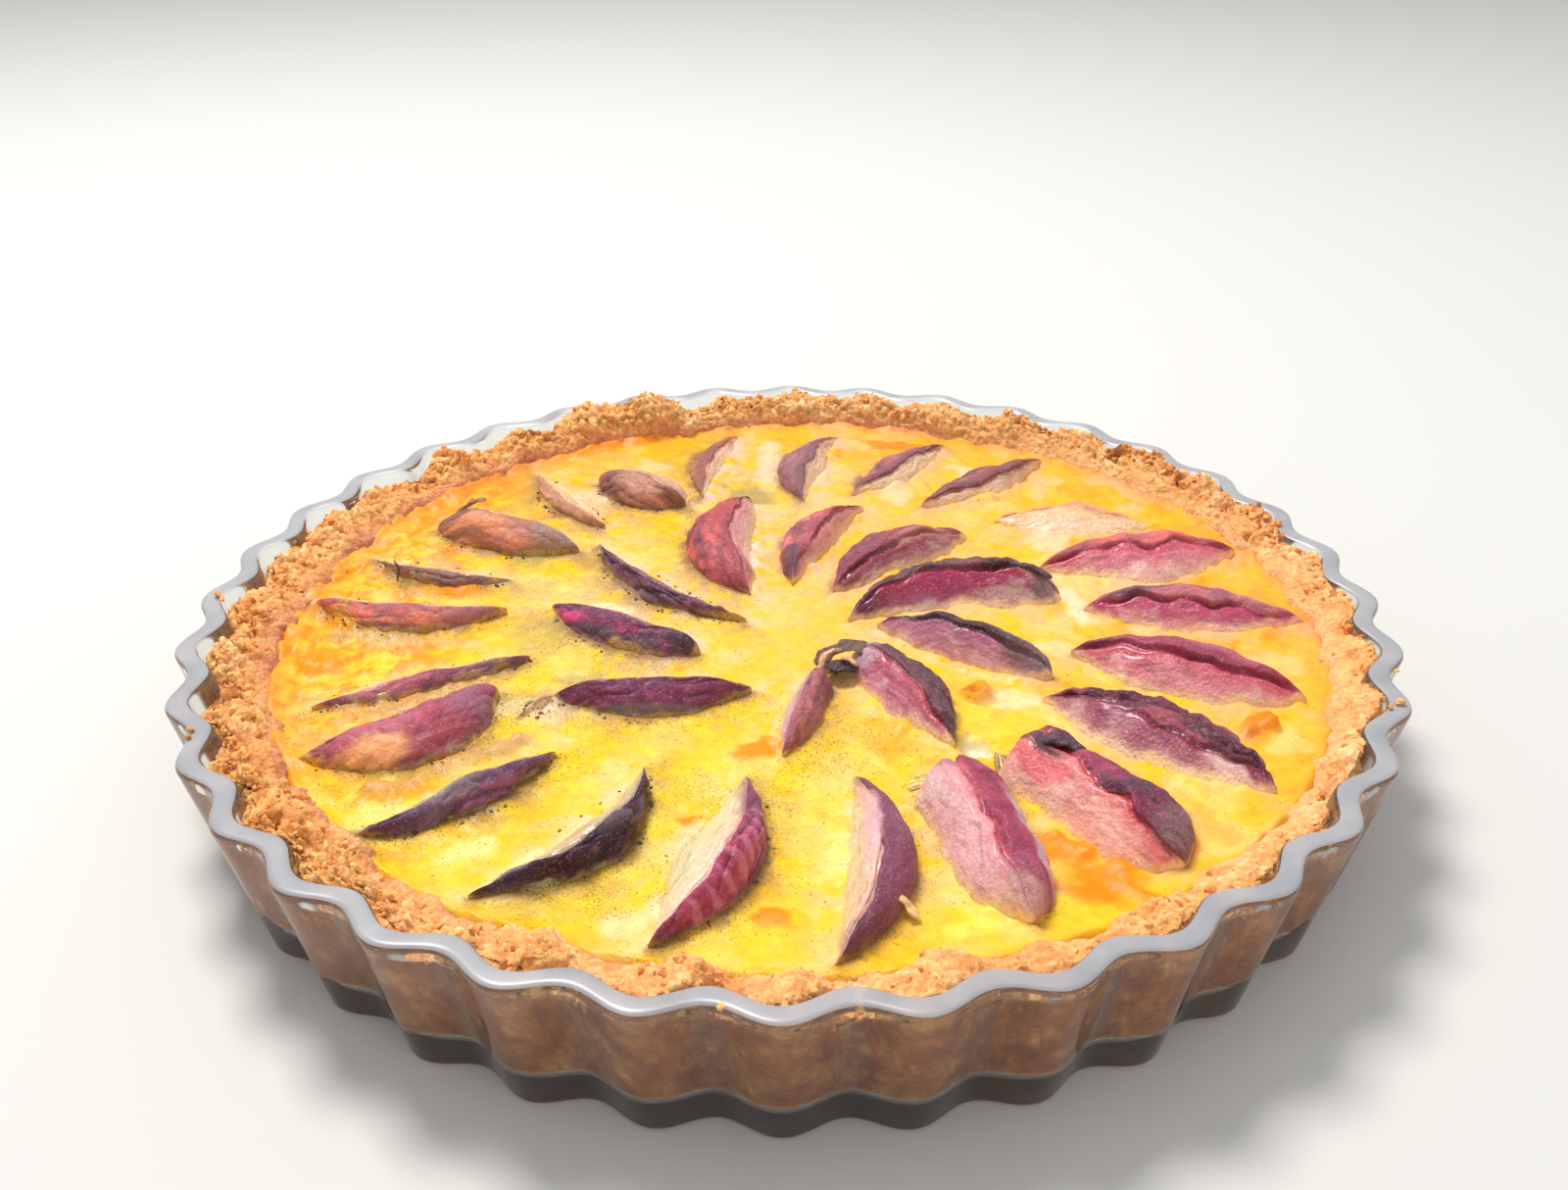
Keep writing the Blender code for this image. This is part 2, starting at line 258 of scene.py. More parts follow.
# Places round the top: (turn and half width in degrees, rise, reach out towards the rim).
CRUST_KNOBS = (
    (127.6, 3.0, 0.0, -3.0), (138.0, 3.5, 1.0, 1.5), (104.5, 3.0, -1.0, -2.2),
    (116.0, 3.5, 0.8, 1.4), (93.0, 3.0, 0.5, 0.6), (78.0, 4.0, 0.4, 0.4),
    (40.3, 4.0, 0.0, -2.0), (30.0, 3.5, -0.5, -3.6), (21.9, 4.0, 0.5, -2.4),
    (327.2, 3.8, -1.0, -4.2), (197.0, 2.2, -1.5, -2.6), (201.5, 2.2, 1.0, 1.6),
    (184.2, 4.0, 0.8, 0.8), (208.0, 3.5, 0.5, 0.8), (239.9, 2.6, -0.6, -1.2),
    (260.7, 3.4, 2.6, 1.6), (268.8, 2.6, 1.8, 1.2), (280.6, 3.6, 2.6, 1.5),
    (273.5, 1.3, -3.0, -1.8), (265.1, 1.0, -1.4, -0.8),
    (299.0, 4.6, 2.4, 1.5), (315.0, 4.0, 1.0, 0.6), (345.1, 4.2, 1.8, 2.2),
    (357.0, 3.6, 1.2, 1.2), (6.1, 4.0, 0.6, 0.6), (223.0, 4.0, 0.6, 0.8),
    (250.0, 3.0, 0.8, 0.8), (165.0, 4.0, 0.4, 0.4), (152.0, 3.5, 0.6, 0.8))


def hashed(cells, seed):
    """A repeatable number from 0 to 1 for each whole-numbered (x, y, z) cell."""
    number = (cells * np.array((73856093, 19349663, 83492791))).sum(-1) + seed * 40503001
    for shift, factor in ((15, 73244475), (13, 40499093), (16, 12345701)):
        number = ((number ^ (number >> shift)) * factor) & 0x7FFFFFFF
    return (number & 0xFFFFF) / 0x100000


LATTICE_TURN = np.array(((0, 0.8, 0.6), (-0.8, 0.36, -0.48), (-0.6, -0.48, 0.64)))


def waves(points, size, seed):
    """Smooth noise from -1 to 1: random values on a lattice of that size, eased between.

    The lattice is turned out of line with the axes, so that its rows don't show.
    """
    scaled = points / size @ LATTICE_TURN
    cell = np.floor(scaled).astype(np.int64)
    part = scaled - cell
    part = part * part * (3 - 2 * part)
    total = 0
    for corner in np.ndindex(2, 2, 2):
        weight = np.where(np.array(corner) == 1, part, 1 - part).prod(-1)
        total = total + weight * hashed(cell + np.array(corner), seed)
    return total * 2 - 1


def fractal(points, size, seed, octaves=3):
    """Waves added up, each half as large as the last and half as strong."""
    layers = [waves(points, size / 2 ** n, seed + n) / 2 ** n for n in range(octaves)]
    return sum(layers) / 1.4


def drift(points, size, seed):
    """Three waves of one size, as a shift of each point along x, y and z."""
    return np.stack([waves(points, size, seed + n) for n in range(3)], -1)


def pebbles(points, size, seed):
    """Packed crumbs: each one's height (0 to about 1.3) and its own number.

    A crumb is high where the nearest of the scattered seeds is much nearer than the next,
    so that crumbs are flat-topped lumps with cracks between them. Each has a height of its
    own, and its top leans its own way.
    """
    scaled = (points + 0.25 * size * drift(points, size * 0.6, seed + 21)) / size
    cell = np.floor(scaled).astype(np.int64)
    nearest = np.full(points.shape[:-1], 9.0)
    second = nearest
    number = np.zeros(points.shape[:-1])
    offset = np.zeros(points.shape)
    for step in np.ndindex(3, 3, 3):
        near = cell + np.array(step) - 1
        centre = near + np.stack([hashed(near, seed + n) for n in range(3)], -1)
        away = np.sqrt(((scaled - centre) ** 2).sum(-1))
        closer = away < nearest
        second = np.where(closer, nearest, np.minimum(second, away))
        nearest = np.where(closer, away, nearest)
        number = np.where(closer, hashed(near, seed + 7), number)
        offset = np.where(closer[..., None], scaled - centre, offset)
    gap = np.clip((second - nearest) * 2.4, 0, 1)
    gap = gap * (2 - gap)
    dome = np.sqrt(np.clip(1 - nearest ** 2 / 0.9, 0, 1))
    lean = np.stack([np.cos(40 * number), np.sin(40 * number), np.cos(90 * number)], -1)
    tilt = (offset * lean).sum(-1) * gap
    return (0.65 * gap + 0.3 * dome) * (0.7 + 0.6 * number) + 0.45 * tilt, number


def outward(grid):
    """Unit normals of a wrapped grid: the slope along rows crossed with that along columns."""
    wrapped = np.concatenate([grid[:, -1:], grid, grid[:, :1]], 1)
    across = wrapped[:, 2:] - wrapped[:, :-2]
    normal = np.cross(np.gradient(grid, axis=0), across)
    return normal / np.maximum(np.linalg.norm(normal, axis=-1, keepdims=True), 1e-9)


def blend(first, second, share):
    """Mixes colours point by point: share 0 gives the first, 1 the second, maybe a code."""
    second = srgb(second) if isinstance(second, str) else second
    share = np.clip(share, 0, 1)[..., None]
    return first * (1 - share) + second * share


def ramp(value, *stops):
    """A colour for each value from 0 to 1, read off evenly spaced stops written rrggbb."""
    colours = np.array([srgb(stop) for stop in stops])
    along = np.clip(value, 0, 1) * (len(stops) - 1)
    steps = np.arange(len(stops))
    return np.stack([np.interp(along, steps, colours[:, n]) for n in range(3)], -1)


def paint(made, name, values):
    """Keeps a colour, or one number, for each point of a piece under that name."""
    if values.ndim == 1:
        layer = made.data.attributes.new(name, "FLOAT", "POINT")
        layer.data.foreach_set("value", values.astype(np.float32))
        return
    layer = made.data.color_attributes.new(name, "FLOAT_COLOR", "POINT")
    full = np.concatenate([np.clip(values, 0, 1), np.ones((len(values), 1))], 1)
    layer.data.foreach_set("color", full.astype(np.float32).ravel())


def crest_by_turn():
    """Height in mm of the solid case's top at each of its steps round."""
    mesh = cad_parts["pastry_crust"].data
    points = np.empty(len(mesh.vertices) * 3, np.float32)
    mesh.vertices.foreach_get("co", points)
    points = points.reshape(-1, 3) / MM
    turn = np.arctan2(points[:, 1], points[:, 0]) / (2 * np.pi)
    step = np.round(turn * CASE_STEPS).astype(int) % CASE_STEPS
    top = np.full(CASE_STEPS, 30.0)
    np.maximum.at(top, step, points[:, 2])
    return top


def crust_outline():
    """The case's section: (radius, height, rounding, share of flutes, share of crags).

    Its rows lie closest where the crags are, and farthest apart on the hidden floor.
    """
    corners = rounded((
        (60, 9.3, 1, 0, 0), (113, 9.3, 1.5, 0, 0), (120.4, 24.5, 1, 0, 0.2),
        (121.8, 29.6, 1.8, 0, 0.4), (124.8, 33.4, 2.4, 0.1, 1), (130.8, 33.6, 2.0, 0.35, 1),
        (133.2, 31.6, 1.4, 0.85, 0.8), (glass_inside(30) + INTO_GLASS, 29.4, 1.2, 1, 0.1),
        (glass_inside(8) + INTO_GLASS, 8, 2.4, 1, 0),
        (glass_inside(5) - 3, GLASS_FLOOR - INTO_GLASS, 1, 1, 0),
        (60, GLASS_FLOOR - INTO_GLASS, 1, 1, 0)), 9)
    step = np.linalg.norm(np.diff(corners[:, :2], axis=0), axis=1)
    middle = (corners[1:] + corners[:-1]) / 2
    dense = np.where(middle[:, 0] < 119, 0.04, np.where(middle[:, 1] > 25.5, 1, 0.22))
    far = np.concatenate([[0], np.cumsum(step * dense)])
    rows = np.linspace(0, far[-1], CRUST_ROWS)
    return np.stack([np.interp(rows, far, corners[:, n]) for n in range(5)], -1)


def side_tint(turn):
    """How the bake differs round the case: paler towards +X and -Y, redder towards -X."""
    pale = ease(0.9 * np.cos(turn) - np.sin(turn), -0.1, 1.0)[..., None]
    red = ease(-np.cos(turn), 0.2, 0.9)[..., None]
    return (1 + pale * np.array((0.12, 0.02, 0.04))) * (1 - red * np.array((-0.06, 0.03, 0.14)))


def bell(turn, at, wide):
    """1 at a turn and dying away to both sides of it as a bell curve, all in degrees."""
    return np.exp(-(((turn - at + 180) % 360 - 180) / wide) ** 2)


outline = crust_outline()
radius, height, fluted, cragged = (outline[:, n:n + 1] for n in (0, 1, 3, 4))
turn = all_round(CRUST_COLUMNS)
degrees = np.degrees(turn)
crest = np.interp(degrees, np.arange(CASE_STEPS) * 360 / CASE_STEPS, crest_by_turn(), period=360)
rise = crest - CRUST_CREST - CRUMB_ROOM
reach = 0 * turn
for at, wide, up, out in CRUST_KNOBS:
    rise = rise + up * bell(degrees, at, wide)
    reach = reach + out * bell(degrees, at, wide)
ring = turned(CREST_RADIUS, 0 * turn, CRUST_COLUMNS)
cracks = 0 * turn
for flute in range(FLUTES):
    chance = hashed(np.array((flute, 3, 1)), 5)
    at = (flute + 0.5) * 360 / FLUTES + 4 * (hashed(np.array((flute, 1, 2)), 6) - 0.5)
    wide = 0.5 + 0.9 * hashed(np.array((flute, 5, 2)), 7)
    cracks = cracks + chance * bell(degrees, at, wide)
lift = ease(height, 27, CRUST_CREST) * ease(cragged, 0, 0.5)
outer_side = ease(radius, 127.5, 132)
gentle = ease(np.abs(np.cos(turn)), 0.3, 0.9)
wander = 0.9 * fractal(ring, 9, 31) + 2.2 * gentle
foot_wander = 2.6 * fractal(ring, 8, 32, 4) * ease(height, 20, 25) * (1 - ease(radius, 123, 128))
top_radius = radius + foot_wander + lift * (outer_side * reach + (1 - outer_side) * wander)
base = turned(top_radius - FLUTE_DEPTH * fluted * flute_wave(turn), height + lift * rise,
              CRUST_COLUMNS)
base[..., 0] += (1 - fluted) * CRUST_OFFSET

# Crumbs of four sizes lie on each other and on slow waves.
lump, _ = pebbles(base, 11.0, 11)
knob, knob_number = pebbles(base, 5.6, 12)
crumb, crumb_number = pebbles(base, 2.9, 13)
grit, grit_number = pebbles(base, 1.5, 14)
smoother = ease(0.7 * np.cos(turn) - np.sin(turn), 0.2, 0.9)
rough = 1 - 0.45 * smoother
relief = (0.5 * (lump - 0.7) + 1.0 * (knob - 0.7) + 1.3 * (crumb - 0.7) + 1.0 * (grit - 0.7)
          + 0.9 * fractal(base, 5, 20)) * rough + 1.6 * fractal(base, 16, 15)
cracks = cracks * (0.25 + 0.75 * outer_side)
relief = cragged * relief - 1.5 * cracks * cragged
case_grid = base + outward(base) * relief[..., None]
# Below the rim, nothing of it goes through the inside of the glass.
wall_inside = glass_inside(case_grid[..., 2]) - FLUTE_DEPTH * flute_wave(turn) + INTO_GLASS
by_glass = (radius > CREST_RADIUS) & (case_grid[..., 2] < DISH_HEIGHT - 0.3)
too_far = np.hypot(case_grid[..., 0], case_grid[..., 1]) / wall_inside
case_grid[..., :2] /= np.maximum(np.where(by_glass, too_far, 0), 1)[..., None]

# The crumbs differ in tone at random; painted shade darkens the low parts of the relief and
# the pits and cracks between crumbs, and raised crumbs are painted lighter. The foot at the
# custard is washed with juice, and the side seen through the glass is browner, with a painted
# pale reflection of the glass in its troughs.
depth = np.clip(0.55 + relief / 5, 0, 1)
tone = 0.26 * crumb_number + 0.3 * grit_number + 0.12 * knob_number + 0.2
# Painted shade: lower parts of the relief are darker and raised ones lighter.
tone = tone + 0.16 * fractal(base, 22, 16) + 0.5 * (depth - 0.5)
golden = ramp(tone, "c47830", "eca254", "f8b86c", "fec884", "ffdca4")
# Painted shade in the pits between crumbs and in the cracks at the flutes.
pit_shade = (1 - grit) * 0.45 + (1 - crumb) * 0.5 + (1 - ease(depth, 0.1, 0.42)) * 0.4
pit_shade = pit_shade * (1 - 0.5 * smoother)
golden = blend(golden, "a0541e", pit_shade * cragged)
golden = blend(golden, "6a3a20", 0.8 * np.clip(cracks, 0, 1) * cragged)
toasted = ease(fractal(base, 17, 17), 0.15, 0.7) * ease(height, 28, 33)
golden = blend(golden, "c07a40", 0.35 * toasted) * side_tint(turn)
washed_to = 31.5 + 1.3 * gentle + 1.5 * waves(base, 5, 18)
inner_foot = (1 - ease(height, 28, washed_to)) * (radius < 126)
washed = ramp(0.5 + 0.5 * fractal(base, 9, 19), "b06450", "c87a5c", "dc9860")
washed = blend(washed, "e8b074", ease(np.cos(turn), 0, 0.7) + 0 * radius)
golden = blend(golden, washed, 0.85 * inner_foot)
under_glass = ease(radius, 126.5, 129) * (1 - ease(height, 28.5, 32))
baked_side = ramp(0.48 + 0.06 * fractal(base, 13, 21) + 0.1 * (knob_number - 0.5)
                  + 0.22 * (grit_number - 0.5) + 0.36 * fractal(base * (1, 1, 1.3), 3.6, 24),
                  "94562a", "a45c28", "c0702e", "e09a50", "fcd090")
# Painted reflection: the pastry behind the glass's troughs is painted a pale grey.
trough_reflection = 0.3 * ease(flute_wave(turn) + 0.3 * fractal(base, 14, 27), 0.6, 1.1)
baked_side = blend(baked_side, "b8a692", trough_reflection)
golden = blend(golden, baked_side, under_glass)

case = closed_shell("shortcrust_case", case_grid)
paint(case, "colour", with_poles(golden))


def new_group(name, output, **inputs):
    """A node group with one output, (name, kind), and inputs of given kinds; and those."""
    group = bpy.data.node_groups.new(name, "ShaderNodeTree")
    for key, kind in inputs.items():
        group.interface.new_socket(key, in_out="INPUT", socket_type="NodeSocket" + kind)
    group.interface.new_socket(output[0], in_out="OUTPUT", socket_type="NodeSocket" + output[1])
    return group, node(group, "NodeGroupInput", {}).outputs


def sums(tree, operation, *values):
    """A Math node's result for those values or sockets."""
    return node(tree, "ShaderNodeMath", dict(enumerate(values)), operation=operation).outputs[0]


# Mottle lightens and darkens a colour in small clouds.
mottle, given = new_group("mottle", ("Colour", "Color"), Colour="Color", Vector="Vector",
                          Scale="Float", Amount="Float")
blotch = node(mottle, "ShaderNodeTexNoise", {"Vector": given["Vector"], "Scale": given["Scale"],
                                             "Detail": 4.0}).outputs["Fac"]
swing = sums(mottle, "MULTIPLY_ADD", sums(mottle, "SUBTRACT", blotch, 0.5), given["Amount"], 1.0)
shaded = node(mottle, "ShaderNodeVectorMath", {0: given["Colour"], "Scale": swing},
              operation="SCALE")
node(mottle, "NodeGroupOutput", {0: shaded.outputs["Vector"]})


def stored(tree, name, kind="Fac"):
    """What paint kept for each point under that name."""
    return node(tree, "ShaderNodeAttribute", {}, attribute_name=name).outputs[kind]


def baked(name, colour, roughness, grain, grit, glow):
    """A material for baked food: its painted colour mottled, over a fine bump; its shader,
    its tree and its colour.

    grain is the mottling's scale and amount, grit the bump's scale, detail, strength and
    depth, and glow how much light passes below the surface and how far red, green and
    blue of it go, in metres.
    """
    material, shader = finish(name, colour, roughness)
    tree = material.node_tree
    colour = node(tree, "ShaderNodeGroup", {
        "Colour": stored(tree, "colour", "Color"), "Vector": on_object(tree),
        "Scale": grain[0], "Amount": grain[1]}, node_tree=mottle).outputs["Colour"]
    bump = node(tree, "ShaderNodeBump", {"Height": clouds(tree, *grit[:2]), "Strength": grit[2],
                                         "Distance": grit[3]})
    plug(shader, {"Base Color": colour, "Normal": bump.outputs["Normal"],
                  "Subsurface Weight": glow[0], "Subsurface Radius": glow[1:],
                  "Subsurface Scale": 1.0})
    return material, shader, tree, colour


pastry, *_ = baked("golden shortcrust", "d7995c", 0.75, (900, 1.0), (1100.0, 4.0, 0.9, 0.0008),
                   (0.08, 0.002, 0.001, 0.0005))
place(case, pastry, "pastry", "pastry_crust")


# ---- loose crumbs --------------------------------------------------------------------
# Crumbs that broke off the case as it was pressed in and baked. They stick to its top and
# sides, and a few lie on the glass rim.

CRUMBS = 2300
LUMP_POINTS = 26                # of each crumb
# Crumbs on the rim: (turn in degrees, distance from the middle, size).
RIM_CRUMBS = ((180.2, 135.6, 2.6), (181.0, 134.0, 1.6), (205.3, 134.8, 1.8), (206.4, 135.6, 1.2),
              (266.0, 136.4, 1.6), (340.0, 137.0, 2.4), (339.0, 135.2, 1.4), (345.5, 136.8, 1.5))


def lumps(centres, sizes, seed):
    """Small angular lumps: a cut-corner ball of points each, stretched and dented.

    Each of a ball's points is a corner, edge middle or face middle of a cube pushed out to
    the sphere, scaled by its own random share and turned at random.
    """
    cube = np.array([p for p in np.ndindex(3, 3, 3) if p != (1, 1, 1)]) - 1.0
    ball = cube / np.linalg.norm(cube, axis=1, keepdims=True)
    number = {tuple(p): n for n, p in enumerate(cube.astype(int).tolist())}
    faces = []
    for axis, side in ((a, s) for a in range(3) for s in (-1, 1)):
        u, v = (axis + 1) % 3, (axis + 2) % 3
        for a, b in ((-1, -1), (-1, 0), (0, -1), (0, 0)):
            corners = []
            for da, db in ((0, 0), (1, 0), (1, 1), (0, 1)):
                at = [0, 0, 0]
                at[axis], at[u], at[v] = side, a + da, b + db
                corners.append(number[tuple(at)])
            faces.append(corners if side > 0 else corners[::-1])
    random = np.random.default_rng(seed)
    count = len(centres)
    dents = random.uniform(0.6, 1.2, (count, len(ball), 1))
    stretch = random.uniform(0.55, 1.25, (count, 1, 3))
    turns, _ = np.linalg.qr(random.normal(size=(count, 3, 3)))
    turns = turns * np.sign(np.linalg.det(turns))[:, None, None]
    points = np.einsum("nij,npj->npi", turns, ball[None] * dents * stretch)
    points = centres[:, None] + points * np.asarray(sizes)[:, None, None] / 2
    every = (np.array(faces)[None] + len(ball) * np.arange(count)[:, None, None]).reshape(-1, 4)
    return points.reshape(-1, 3), every


random = np.random.default_rng(77)
row_chance = (cragged * ease(height, 27, 29) * (0.35 + ease(radius, 122, 127)))[:, 0]
row_chance = np.where(height[:, 0] < 29, 0, row_chance)
rows = random.choice(CRUST_ROWS, CRUMBS, p=row_chance / row_chance.sum())
column_chance = 1 - 0.6 * smoother[0]
columns = random.choice(CRUST_COLUMNS, CRUMBS, p=column_chance / column_chance.sum())
sizes = 0.8 + 2.0 * random.random(CRUMBS) ** 2
centres = case_grid[rows, columns] - outward(case_grid)[rows, columns] * (0.2 * sizes)[:, None]
rim_turn, rim_out, rim_size = np.array(RIM_CRUMBS).T
rim_turn = np.radians(rim_turn)
on_glass = np.stack([rim_out * np.cos(rim_turn), rim_out * np.sin(rim_turn),
                     DISH_HEIGHT + 0.3 * rim_size], -1)
centres = np.concatenate([centres, on_glass])
sizes = np.concatenate([sizes, rim_size])
points, faces = lumps(centres, sizes, 78)
crumb_tone = np.repeat(random.random(len(centres)), LUMP_POINTS)
crumb_tone = crumb_tone + 0.2 * waves(points, 1.2, 4)
crumbs = piece("loose_crumbs", points, faces.tolist())
crumbs.data.shade_flat()
paint(crumbs, "colour", ramp(crumb_tone, "c88040", "e09a52", "f0b068", "f8c07c")
      * side_tint(np.arctan2(points[:, 1], points[:, 0])))
place(crumbs, pastry, "pastry")


# ---- peach slices, as they lie -------------------------------------------------------
# Wedges of ripe peach laid in two rings on their cut faces and pushed into the custard,
# skins all facing one way. Their places come first, because the custard is shaped by them.

CUSTARD_LEVEL = 27.0
# Each has its number; its turn in degrees and its middle's distance out; its twist; its
# length, width, height and bow; where its ridge stands across it (0 at the flesh's foot, 1 at
# the skin's) and how square its inner and outer ends are; the colours of its skin, its skin's
# mottles, its flesh by the ridge and at the foot, its lip and the crease below; the sizes of
# the lip and the crease, the depth of the skin's wrinkles and how far the skin laps over the
# flesh; how round the skin's side is (2 a quarter circle, less flatter); and its slot. Sizes
# are in mm. Number 0 is the loose scrap.
Slice = namedtuple("Slice", "number turn out twist length width height bow ridge inner outer "
                            "colours lip crease wrinkle over roundness slot")
SLICES = [Slice(*row) for row in (
    (1, 277, 93, -12, 55, 14, 8, 6.5, 0.50, 0, 0,
     "8c4860 6c3c50 e8c8ac e4d0a8 7a3e52 b85a68", 0.5, 0.5, 0.2, 0, 2.5, "mauve"),
    (2, 260, 91, -7, 53, 17, 8, 3.5, 0.70, 0, 0,
     "c6588c 6e2c48 eed8b4 e6d6aa 963450 c06a70", 0.6, 0.5, 0.5, 0, 2.5, "crimson"),
    (3, 242, 92, -7, 50, 13, 7, 8, 0.76, 0, 0,
     "622848 32182e d7be96 dcca9c 3c1c34 5a3040", 0.9, 0.4, 0.65, 0, 2.3, "plum"),
    (4, 227, 96, -8, 46, 11, 6, 2.5, 0.60, 0, 0,
     "935473 664c66 c8aa78 dcc482 4c2840 5a3848", 0.8, 0.3, 0.7, 0, 2, "plum"),
    (5, 209, 94, 7, 46, 19, 7, 7, 0.30, 0.4, 0,
     "a84454 9a4a60 d8a070 dcb880 a85060 8a3040", 0.4, 0.2, 0.4, 0.3, 1.8, "rose"),
    (6, 199, 86, 7, 50, 8.5, 3.5, 0, 0.60, 0, 0,
     "a05466 7a4460 d0a080 dcb880 8a4658 8a3a50", 0.4, 0.2, 0.3, 0.3, 1.7, "rose"),
    (7, 176, 92, 0, 48, 13.5, 6, 6.5, 0.60, 0, 0.2,
     "dc7c5c a05c64 e0b080 e8c890 a05060 b05050", 0.4, 0.2, 0.3, 0.3, 2, "coral"),
    (8, 164, 92, 0, 39, 8.5, 3.5, 3, 0.70, 0, 0,
     "a87464 6e5054 d8b080 e8c890 80564e 904a40", 0.4, 0.2, 0.3, 0.3, 1.8, "rust"),
    (9, 150, 86, 12, 42, 16.5, 8, -1, 0.50, 0, 0.3,
     "d68864 b06a58 e0b080 e8c890 a87058 905040", 0.3, 0.2, 0.25, 0.3, 2.2, "coral"),
    (10, 132, 91, -7, 40, 9, 4, 2.5, 0.60, 0, 0,
     "dca680 c08a6a e8c090 eccf98 b07a60 b07050", 0.3, 0.1, 0.2, 0, 1.8, "coral"),
    (11, 120, 83, 30, 30, 19, 7, -2.5, 0.65, 0.3, 0.3,
     "b0745f 8a564e d8a080 dcb488 8a5a50 7a4038", 0.4, 0.3, 0.4, 0.3, 2.2, "rust"),
    (12, 102.5, 93, -23, 44, 10.5, 4, 4, 0.40, 0, 0,
     "b07058 8a5648 e4b496 ecc8a0 9a5a4c a05040", 0.5, 0.3, 0.4, 0.8, 2.2, "rust"),
    (13, 84, 89, -7, 46, 15, 5, 6.5, 0.35, 0, 0,
     "ac6c6c 7c5260 e6c49c eed8a8 70484e 985058", 0.6, 0.5, 0.3, 1, 2.4, "rose"),
    (14, 70, 93, -20, 45, 13.5, 5, 1, 0.35, 0, 0,
     "b0666a 744648 ecd0a4 f0dcb0 7a464c 903c44", 0.7, 0.5, 0.3, 1.2, 2.4, "rose"),
    (15, 55, 96, -16, 48, 13, 5, 0, 0.35, 0, 0,
     "a0605e 704450 e6c0a0 ecd2ac 8a4a4a 8a3c40", 0.9, 0.5, 0.3, 1.5, 2.4, "rust"),
    (16, 34, 92, -41, 42, 18, 4, 2, 0.65, 0, 0,
     "e2aa80 d88c6c e6ba8c e8c89c c88868 b87050", 0.3, 0.2, 0.5, 0.5, 2, "cream"),
    (17, 19, 95, -9, 53, 19, 8, -2.5, 0.65, 0, 0,
     "c46870 b45a6c d0687c e4a8a0 dc6c60 a41838", 0.8, 1.0, 0.2, 2.8, 2.4, "pink"),
    (18, 1, 97, -8, 52, 17, 8, -0.5, 0.63, 0, 0,
     "ac5460 8c5064 b85070 d48c8c c07074 981c3c", 0.8, 1.0, 0.25, 3, 2.4, "pink"),
    (19, 344, 93, -7, 53, 17.5, 9, -1, 0.65, 0, 0,
     "a04458 a85466 cc6878 e4a09c 963650 981438", 0.8, 1.2, 0.2, 3, 2.4, "pink"),
    (20, 326, 93, -5, 54, 20, 8.3, 1.0, 0.7, 0, 0.2,
     "8c3c50 501e38 983c58 dca898 a4505c 6c1030", 1.0, 1.1, 0.9, 4, 2.2, "plum"),
    (21, 309.5, 97, -3, 44, 24, 9, 0.5, 0.39, 3.0, 0.5,
     "8c3454 5c3044 e08c88 e8a898 8c3050 b01c34", 1.6, 1.1, 0.4, -1.2, 2.1, "coral"),
    (22, 294, 95.5, -9, 44, 19.5, 9, 0, 0.33, 3.0, 0.4,
     "a83c5a 843854 e4a4aa ecbcbc b44460 b02444", 1.3, 1.1, 0.22, -3.0, 2.1, "pink"),
    (23, 146, 36, -11, 57, 9.5, 5, 6, 0.70, 0, 0,
     "a85870 584052 8a5060 a08080 5a3450 5a2038", 0.7, 0.2, 0.7, 0.5, 1.8, "plum"),
    (24, 186, 39, -35, 43, 13.5, 6, 2, 0.50, 0.5, 0,
     "dc4884 6a3450 8a4058 a07078 50384a 5a2038", 0.5, 0.1, 0.35, 0, 1.7, "plum"),
    (25, 228, 44, -44, 44, 14.5, 7, 1.5, 0.55, 0, 0,
     "883858 602c4c 8a3c58 98788a 6a3048 6a2440", 0.4, 0.1, 0.35, 0, 1.6, "plum"),
    (26, 275, 41, -21, 31, 10, 6, 0, 0.43, 0.5, 0,
     "ac645f 8a4c54 d0a8bc d8b0b8 a8606a a03c48", 0.4, 0.3, 0.25, 0.5, 2, "rose"),
    (27, 306, 43, -8, 43, 16, 8, 2, 0.45, 0.4, 0,
     "7a444c 44282f b05c70 cc7c90 7c4450 a42838", 0.8, 0.6, 0.5, 0.6, 2.4, "rose"),
    (28, 340, 43, -11, 45, 12, 8, 1.5, 0.40, 0, 0.5,
     "643840 4a2c34 c47898 d898a8 5a3a40 6a2440", 0.8, 0.6, 0.5, 0.8, 2.4, "plum"),
    (29, 7, 41, 5, 54, 17.5, 9, 9.5, 0.50, 0, 0.85,
     "84444c 4a2c34 982848 a04c6c 7a4c50 8c1030", 0.9, 1.0, 0.7, 1.0, 2.4, "crimson"),
    (30, 45, 41, -5, 47, 18, 7, 5.75, 0.4, 0, 0.3,
     "a84c50 8a4048 a04c58 b87c78 8c4458 701c30", 0.7, 0.8, 0.5, 1.2, 2.3, "rose"),
    (31, 75, 41.5, -9, 48, 13, 7, 5.5, 0.25, 0, 0,
     "d47474 8c4450 f0a4a4 d89490 9a4450 a03c44", 0.7, 0.8, 0.4, 0.8, 2.3, "rose"),
    (32, 104, 40.5, -13, 53, 18.5, 8, 8, 0.35, 0.2, 0.2,
     "dc6464 8a3c48 e4a4a4 e4c0bc 843c48 b04c50", 0.6, 0.5, 0.4, 0.6, 2.3, "crimson"),
    (0, 215, 66, -158, 9, 4, 2.5, 0, 0.50, 0, 0,
     "8a4058 5c3048 8a4058 8a4058 5c3048 5c3048", 0.2, 0.1, 0.3, 0, 2, "plum"),
)]


def taper(along, inner, outer):
    """How wide a slice still is at a place along it: one at its middle, none at its ends.

    It is one minus a power of the distance from the middle, a higher one for square ends.
    """
    square = np.where(along > 0, outer, inner)
    left = 1 - np.abs(along) ** (2 + 4 * square)
    return left, left ** (1.12 - 0.4 * np.minimum(square, 0.9))


